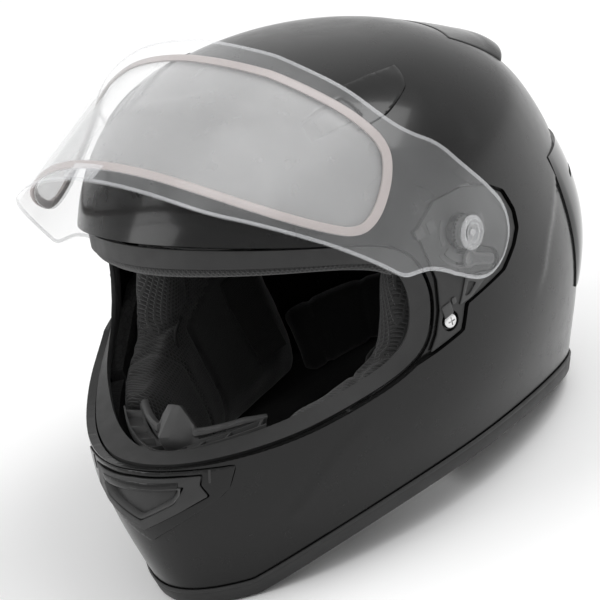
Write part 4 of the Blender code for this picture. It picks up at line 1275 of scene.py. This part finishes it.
def weave_map(obj, place):
    """Lay the fabric: a UV map in millimetres from a rule on the mesh's points."""
    mesh = obj.data
    layer = mesh.uv_layers.new(name="weave")
    points = np.empty(len(mesh.vertices) * 3)
    mesh.vertices.foreach_get("co", points)
    flat = place(points.reshape(-1, 3) / MM - SHIFT)
    loops = np.empty(len(mesh.loops), int)
    mesh.loops.foreach_get("vertex_index", loops)
    layer.data.foreach_set("uv", flat[loops].ravel())


def round_the_head(points):
    """Fabric laid along the inside wall, down it and over the ends of the pads."""
    x, y, z = points.T
    y = y - HEAD_MIDDLE
    turned_by = np.arctan2(np.abs(x), -y)
    return np.stack((turned_by * WALL_RADIUS - np.hypot(x, y) * END_SHARE, z), 1)


def bearing_of(points):
    """Bearing of points, roughly."""
    x, y = points[:, 0], points[:, 1]
    return np.degrees(np.arctan2(x / HEAD_HALF, -(y - HEAD_MIDDLE) / HEAD_REACH))


def bodied(name, rows):
    return loft(name, rows, closed_columns=True, caps=True)


# Cloth simulation of the pads: voxel and furthest move in millimetres, pressure and frames
VOXEL = 4.5
FURTHEST = 3.0
PRESSURE = 4.0
LAST_FRAME = 20


def stuffed(obj):
    """Puff a pad up with a short cloth simulation, holding each point within a cap."""
    scene = bpy.context.scene
    remesh = obj.modifiers.new("voxels", 'REMESH')
    remesh.mode = 'VOXEL'
    remesh.voxel_size = VOXEL * MM
    baked(obj)
    count = len(obj.data.vertices)
    before = np.empty(count * 3)
    obj.data.vertices.foreach_get("co", before)
    before = before.reshape(-1, 3)
    cloth = obj.modifiers.new("stuffing", 'CLOTH')
    settings = cloth.settings
    settings.quality = 5
    settings.mass = 0.25
    settings.use_pressure = True
    settings.uniform_pressure_force = PRESSURE
    settings.tension_stiffness = 25
    settings.compression_stiffness = 25
    settings.shear_stiffness = 12
    settings.bending_stiffness = 2.0
    settings.effector_weights.gravity = 0
    cloth.point_cache.frame_start = 1
    cloth.point_cache.frame_end = LAST_FRAME
    for moment in range(1, LAST_FRAME + 1):
        scene.frame_set(moment)
    graph = bpy.context.evaluated_depsgraph_get()
    after = np.empty(count * 3)
    obj.evaluated_get(graph).data.vertices.foreach_get("co", after)
    shift = after.reshape(-1, 3) - before
    size = np.linalg.norm(shift, axis=1, keepdims=True)
    shift *= np.minimum(1, FURTHEST * MM / np.maximum(size, 1e-9))
    obj.modifiers.clear()
    obj.data.vertices.foreach_set("co", (before + shift).ravel())
    scene.frame_set(1)
    fine = obj.modifiers.new("fine", 'SUBSURF')
    fine.levels = fine.render_levels = 1
    return baked(obj)


def creased(obj, rule):
    """Press seams and channels into a pad: rule gives the depth at each point, in millimetres."""
    mesh = obj.data
    points = np.empty(len(mesh.vertices) * 3)
    mesh.vertices.foreach_get("co", points)
    points = points.reshape(-1, 3)
    normals = np.empty(len(mesh.vertices) * 3)
    mesh.vertices.foreach_get("normal", normals)
    depth = rule(points / MM - SHIFT)
    points = points - normals.reshape(-1, 3) * depth[:, None] * MM
    mesh.vertices.foreach_set("co", points.ravel())
    mesh.update()


def paint_faces(obj, rule):
    """Choose each face's material from its middle, in millimetres."""
    mesh = obj.data
    middles = np.empty(len(mesh.polygons) * 3)
    mesh.polygons.foreach_get("center", middles)
    choice = rule(middles.reshape(-1, 3) / MM - SHIFT).astype(int)
    mesh.polygons.foreach_set("material_index", choice)


def cheek_front(points):
    """How far a point of a cheek pad is behind the pad's edge at the eyeport, in millimetres."""
    a = np.abs(bearing_of(points))
    rise = np.interp(points[:, 2], (10, 95, 108, 150, 170), (40, 42, 60, 68, 69))
    return (a - rise) * 2.0


def cheek_pads():
    """Shaped pads up to the temples: mesh at the front, brushed lining inside."""
    bearings = np.concatenate(
        (np.linspace(40.5, 62, 12), np.linspace(64, 72, 7), np.linspace(75, 106, 13)))
    share = np.linspace(0, 1, 15)
    for side, name in SIDES:
        rows = []
        for b in bearings:
            foot = 12.5
            head = knots_at(CHEEK_TOP, b) - 0.5
            heights = foot + (head - foot) * share
            ends = 1 - ease(min(b - 40.5, 106 - b) / 5 + 0.35)
            back = 21.4 + 3.0 * ends
            face = knots_at(CHEEK_FACE, b) - 5 * np.abs(2 * share - 1) ** 3 - 9 * (1 - share) ** 2
            face = face - 0.4 - 4.0 * ends
            edges = (share > 0.97) | (share < 0.03)
            inner_face = skin(side * b, heights, np.maximum(face - 2.2 * edges, back + 4))
            outer_face = skin(side * b, heights, back + 1.6 * edges)
            rows.append(np.concatenate((outer_face, inner_face[::-1])))
        pad = bodied("cheek_cushion_" + name, rows)
        modifier = pad.modifiers.new("soft", 'BEVEL')
        modifier.width = 2.5 * MM
        modifier.segments = 2
        modifier.angle_limit = math.radians(45)
        baked(pad)
        stuffed(pad)

        def seams(points):
            behind = cheek_front(points)
            first = 1.8 * np.exp(-((behind - 17.0) / 1.5) ** 2)
            second = 1.6 * np.exp(-((behind - 44.0) / 1.6) ** 2)
            ripples = 0.25 * np.sin(points[:, 2] / 5.5) * np.exp(-((behind - 30) / 16.0) ** 2)
            return first + second + ripples

        creased(pad, seams)
        smooth(pad, 80)
        weave_map(pad, round_the_head)
        wear(pad, MESH, "helmet", "cheek_pad_" + name)
        pad.data.materials.append(PLUSH)
        paint_faces(pad, lambda p: cheek_front(p) > 44.0)
        piping("cheek_piping_" + name, side)


def piping(name, side):
    """Sewn cord of cloth between the mesh and the lining of a cheek pad."""
    heights = np.linspace(22, 118, 40)
    front = np.interp(heights, (10, 95, 108, 150, 170), (40, 42, 60, 68, 69)) + 22.0
    spots = skin(side * front, heights, knots_at(CHEEK_FACE, front) - 1.6
                 - 9 * (1 - (heights - 12) / 110) ** 2 * 0.9)
    tube(name, spots, 1.1, BLACK_CLOTH_AND_SHADE, "helmet")


def tube(name, spots, radius, look, body, count=8):
    """Round bar along points."""
    spots = np.asarray(spots, float)
    along = np.gradient(spots, axis=0)
    along /= np.linalg.norm(along, axis=1, keepdims=True)
    steep = abs(along[len(along) // 2][2]) >= 0.8
    up = np.array((1.0, 0.0, 0.0) if steep else (0.0, 0.0, 1.0))
    one = np.cross(along, up)
    one /= np.linalg.norm(one, axis=1, keepdims=True)
    two = np.cross(along, one)
    rows = []
    for k in range(count):
        angle = 2 * math.pi * k / count
        rows.append(spots + radius * (one * math.cos(angle) + two * math.sin(angle)))
    obj = loft(name, np.array(rows).transpose(1, 0, 2), closed_columns=True, caps=True)
    return wear(smooth(obj, 60), look, body)


def crown_lining():
    """Quilted brushed lining over the crown liner, with a mesh band at its lower front edge."""
    def low(angle):
        turn = np.degrees(np.arctan2(np.sin(angle), np.cos(angle)))
        return knots_at(LINER_EDGE, turn) + 0.5

    lining = bowl("crown_cushion", 36.3, 42.2, low, 160, 60)
    bm = bmesh.new()
    bm.from_mesh(lining.data)
    bmesh.ops.recalc_face_normals(bm, faces=bm.faces)
    bm.to_mesh(lining.data)
    bm.free()

    def channels(points):
        x, y, z = points.T
        inner = ((x / 84) ** 2 + ((y - 15) / 128) ** 2 + (z / 212) ** 2) < 1.0
        ring = np.degrees(np.arctan2(x, -(y - 10)))
        ribs = np.abs((ring / 45.0) % 1.0 - 0.5) * 45
        groove = np.exp(-((ribs - 22.5) / 1.6) ** 2) * 2.2 + np.exp(-((z - 172) / 2.0) ** 2) * 2.0
        return np.where(inner, groove, 0.0)

    creased(lining, channels)
    smooth(lining, 70)
    weave_map(lining, round_the_head)
    wear(lining, BLACK_CLOTH_AND_SHADE, "helmet", "crown_pad")
    lining.data.materials.append(MESH)
    paint_faces(lining, lambda p: (np.abs(bearing_of(p)) < 66) & (p[:, 2] < 199))


def brow_band():
    """Mesh-covered roll under the upper lip of the gasket."""
    half = np.array(((0, 188.6), (18, 186.6), (35, 180.6), (51, 171.8), (61, 162.6), (65.4, 154.5)))
    line = chaikin(np.concatenate((half[::-1] * (-1, 1), half[1:])), 3, closed=False)
    rows = []
    for angle in np.linspace(0, 2 * math.pi, 14, endpoint=False):
        deep, high = 14.5 + 5.0 * math.cos(angle), 3.4 * math.sin(angle) + 0.6
        rows.append(skin(line[:, 0], line[:, 1] + high, deep))
    band = loft("brow_roll", np.array(rows).transpose(1, 0, 2), closed_columns=True, caps=True)
    smooth(band, 60)

    def round_the_brow(points):
        x, y, z = points.T
        return np.stack((np.arctan2(x, -(y - HEAD_MIDDLE)) * 125.0, z * 1.3 + y * 0.4), 1)

    weave_map(band, round_the_brow)
    wear(band, MESH, "helmet")


def neck_roll():
    """Padded roll round the nape, with a sewn panel at each end."""
    bearings = np.linspace(107.6, 252.4, 61)
    share = np.linspace(0, 1, 11)
    rows = []
    for b in bearings:
        ends = 1 - ease(min(b - 107.6, 252.4 - b) / 5 + 0.4)
        face = 38 - 4 * np.abs(2 * share - 1) - 0.5 - 5 * ends
        heights = 9.6 + (45.4 - 9.6) * share
        inner_face = skin(b, heights, face)
        outer_face = skin(b, heights, 17.4 + 2 * ends + 0 * share)
        rows.append(np.concatenate((outer_face, inner_face[::-1])))
    roll = bodied("nape_cushion", rows)
    modifier = roll.modifiers.new("soft", 'BEVEL')
    modifier.width = 3.0 * MM
    modifier.segments = 2
    modifier.angle_limit = math.radians(45)
    baked(roll)
    stuffed(roll)

    def seams(points):
        a = np.degrees(np.arctan2(points[:, 0], -(points[:, 1] - 20)))
        return sum(np.exp(-((np.abs(a) - spot) / 1.1) ** 2) * 1.5 for spot in (128, 146, 164))

    creased(roll, seams)
    smooth(roll, 80)
    weave_map(roll, round_the_head)
    wear(roll, PLUSH, "helmet", "neck_roll")


# Section of the dark skirt that paints the shade in the neck opening, as depth and height, from its
# raised outer bead to its thin inner edge
SHADE_SKIRT_SECTION = np.array((
    (14.9, 3.4), (14.9, 15.6), (15.6, 17.6), (17.2, 16.6), (19.8, 11.4), (27, 8.6), (38, 6.4),
    (52, 3.4), (57.5, 1.4), (55, -0.4), (38, 0.4), (18, 1.2),
))


def painted_shade_skirt():
    """Dark soft roll under the pads that closes the rear of the neck opening: painted shade over
    the floor seen inside the helmet.
    """
    rows = []
    for b in np.linspace(74, 286, 107):
        ends = ease(min(b - 74, 286 - b) / 10 + 0.25)
        lift = 2.5 * (1 - ease((min(b, 360 - b) - 80) / 18))
        middle = np.array((22.0, 6.0 + lift))
        section = middle + (SHADE_SKIRT_SECTION - (22.0, 6.0)) * (1, ends)
        rows.append([skin(b, height, depth) for depth, height in section])
    skirt = smooth(bodied("painted_shade_skirt", rows), 70)
    weave_map(skirt, round_the_head)
    # The near-black cloth of this skirt is painted shade.
    wear(skirt, BLACK_CLOTH_AND_SHADE, "helmet")


# Rear pad of the lining, seen past the cheek pads: outline as bearing and height
NAPE_PANEL = ((-168, 64), (-112, 66), (-107, 84), (-112, 118), (-128, 128), (-168, 122))


def nape_panels():
    """Charcoal panels with rounded corners behind the cheeks."""
    for side, name in SIDES:
        outline = [(-side * a, b) for a, b in NAPE_PANEL]

        def surface(a, b, depth):
            return skin(a, b, 44.6 - depth)

        scale = metric(outline)
        loop = fillet(np.array(outline, float) * scale, 12, 8) / scale
        pad = slab("nape_panel_" + name, [loop], scale, surface,
                   lambda a, b: 2.6 + 0 * a, 0.2, 1.6, 3.0)
        smooth(pad, 60)
        weave_map(pad, round_the_head)
        wear(pad, CHARCOAL, "helmet")


# ------------------------------------------------------------------ deflector, grille and straps

def breath_deflector():
    """Soft nose-shaped deflector with a faceted peak and slotted wings."""
    half = ((0, 121), (4.5, 120.4), (9.5, 114), (14, 106), (22, 103.6), (31, 101), (37, 96.5))
    foot = 87.5
    bearings = np.linspace(-37, 37, 75)
    share = np.linspace(0, 1, 13)
    rows = []
    for b in bearings:
        top = knots_at(half, b)
        a = abs(b)
        nose = max(0.0, 1 - a / 12.5)
        heights = foot + (top - foot) * share
        bulge = 12.5 * nose * np.minimum(share / 0.45, (1 - share) / 0.55 + 0.08)
        rib = 1.6 * (a > 12.5) * (np.abs(share - 0.86) < 0.14)
        front = 33.5 - bulge - rib - 1.0 * (share < 0.12)
        outside = skin(b, heights, front)
        inside_face = skin(b, heights, 35.9 - 0.8 * bulge)
        rows.append(np.concatenate((outside, inside_face[::-1])))
    obj = bodied("deflector", rows)
    for side in (1, -1):
        slot = sided(((15.5, 98.0), (26, 96.4), (26, 99.0), (15.5, 101.0)), side)
        cut(obj, panel("deflector_slot", [slot], 20, 44, 0.05, 3.0, 0.6))
    wear(smooth(bevelled(obj, 0.4), 32), DEFLECTOR, "helmet", "breath_deflector")


def air_grille():
    """Row of square mouths behind the gasket, parted by thin ribs."""
    low, high = 91.0, 94.8
    parts = []
    for depth, size in ((21.9, 1.0), (31.0, 1.1)):
        bearings = np.linspace(-36, 36, 60)
        ring = []
        for z, extra in ((low, 0), (high + 1.0, 0), (high + 1.0, size), (low, size)):
            ring.append(skin(bearings, z, depth + extra))
        parts.append(loft("grille_rail_%d" % depth, np.array(ring).transpose(1, 0, 2),
                          closed_columns=True, caps=True))
    floor = [skin(np.linspace(-36, 36, 60), low, d) for d in (22.0, 31.5)]
    floor += [skin(np.linspace(-36, 36, 60), low - 0.6, d) for d in (31.5, 22.0)]
    parts.append(loft("grille_floor", np.array(floor).transpose(1, 0, 2),
                      closed_columns=True, caps=True))
    for i in range(9):
        bearing = 8.5 * (i - 4)
        lean = 1.6
        corners = []
        for b_shift, depth in ((-0.35, 22), (0.35, 22), (0.35 + lean, 31.5), (-0.35 + lean, 31.5)):
            corners.append([skin(bearing + b_shift, z, depth) for z in (low, high + 0.8)])
        rows = [[corner[0] for corner in corners], [corner[1] for corner in corners]]
        parts.append(loft("grille_rib_%d" % i, rows, closed_columns=True, caps=True))
    wear(smooth(parts[0], 40), DEFLECTOR, "helmet", "chin_air_grille")
    for part in parts[1:]:
        wear(smooth(part, 40), DEFLECTOR, "helmet")
    for side in (1, -1):
        outline = sided(((5.2, 95.6), (12, 95.2), (12, 92.4), (5.2, 92.8)), side)
        clip = panel("grille_clip_%d" % (1 if side > 0 else 2), [outline], 19.6, 22.4,
                     0.3, 1.5, 0.5)
        wear(smooth(clip), DEFLECTOR, "helmet")


def straps():
    """Flat webbing that hangs inside each cheek, with a hemmed end."""
    for side, name in SIDES:
        low = 27 if side > 0 else 35
        rows = []
        for b in np.linspace(85.3, 95.7, 12):
            heights = np.linspace(low, 95.5, 40)
            wave = 0.35 * np.sin(heights / 7)
            fold = 0.5 * ease((low + 9 - heights) / 2)
            front = skin(side * b, heights, 50.5 + wave + fold)
            back = skin(side * b, heights, 49.2 + wave)
            rows.append(np.concatenate((front, back[::-1])))
        strap = bodied("strap_web_" + name, rows)
        smooth(strap, 50)
        weave_map(strap, round_the_head)
        wear(strap, TAPE, "helmet", "strap_" + name)


def liners():
    """Foam liners keep their CAD shape."""
    for name in ("eps_crown_liner", "eps_chin_liner", "eps_cheek_left", "eps_cheek_right"):
        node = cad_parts[name]
        node.data.materials.clear()
        node.data.materials.append(FOAM)


# ------------------------------------------------------------------ camera and light

CAMERA_PLACE = np.array((1482.629, -1599.466, 1082.576)) * 1.03
CAMERA_AXES = np.array((
    (0.779656, 0.580188, -0.235621),
    (-0.080781, 0.466309, 0.880926),
    (0.620975, -0.667786, 0.410429),
))
FOCAL_PIXELS = 4386.7
FRAME_PIXELS = 600
SENSOR = 36.0


def camera():
    data = bpy.data.cameras.new("camera")
    data.sensor_width = SENSOR
    data.lens = FOCAL_PIXELS / FRAME_PIXELS * SENSOR
    data.shift_x = -5.85 / FRAME_PIXELS
    data.shift_y = 0.60 / FRAME_PIXELS
    data.clip_end = 50
    obj = bpy.data.objects.new("camera", data)
    bpy.context.scene.collection.objects.link(obj)
    turn = Matrix(CAMERA_AXES.T.tolist()).to_4x4()
    obj.matrix_world = Matrix.Translation((CAMERA_PLACE + SHIFT) * MM) @ turn
    bpy.context.scene.camera = obj


def softbox(name, place, target, width, height, power):
    data = bpy.data.lights.new(name, 'AREA')
    data.shape = 'RECTANGLE'
    data.size, data.size_y = width, height
    data.energy = power
    obj = bpy.data.objects.new(name, data)
    bpy.context.scene.collection.objects.link(obj)
    obj.location = place
    obj.rotation_euler = (Vector(place) - Vector(target)).to_track_quat('Z', 'Y').to_euler()


# Half side of the floor in metres, and strength of the even light all round
FLOOR_REACH = 12.0
STUDIO_LIGHT = 0.75


def stage():
    look, tree, shader = node_setup("studio_floor")
    colour = tint(tree, noise(tree, 2, 2), (0.93,) * 3, (0.95,) * 3)
    tree.links.new(colour, shader.inputs["Base Color"])
    shader.inputs["Roughness"].default_value = 0.7
    mesh = bpy.data.meshes.new("floor")
    corners = [(x * FLOOR_REACH, y * FLOOR_REACH, 0)
               for x, y in ((-1, -1), (1, -1), (1, 1), (-1, 1))]
    mesh.from_pydata(corners, [], [(0, 1, 2, 3)])
    floor = bpy.data.objects.new("floor", mesh)
    floor.location.z = -0.0005
    bpy.context.scene.collection.objects.link(floor)
    mesh.materials.append(look)
    floor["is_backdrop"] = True
    world = bpy.data.worlds.new("studio")
    bpy.context.scene.world = world
    world.use_nodes = True
    world.node_tree.nodes["Background"].inputs["Color"].default_value = (1, 1, 1, 1)
    world.node_tree.nodes["Background"].inputs["Strength"].default_value = STUDIO_LIGHT
    bpy.context.scene.view_settings.view_transform = 'Standard'
    softbox("key", (0.8, 0.7, 1.8), (0, 0, 0.15), 1.2, 1.2, 22)
    softbox("fill", (-1.2, -1.4, 1.3), (0, 0, 0.12), 1.4, 1.0, 14)


camera()
painted_shell()
base_trim()
eyeport_gasket()
shield_pieces()
chin_vent()
crown_vents()
rear_pieces()
side_pieces()
cheek_pads()
crown_lining()
brow_band()
neck_roll()
painted_shade_skirt()
nape_panels()
breath_deflector()
air_grille()
straps()
liners()
stage()


def write_sizes():
    [[list(corner) for corner in box] for box in (CAD_BOX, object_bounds())]


write_sizes()
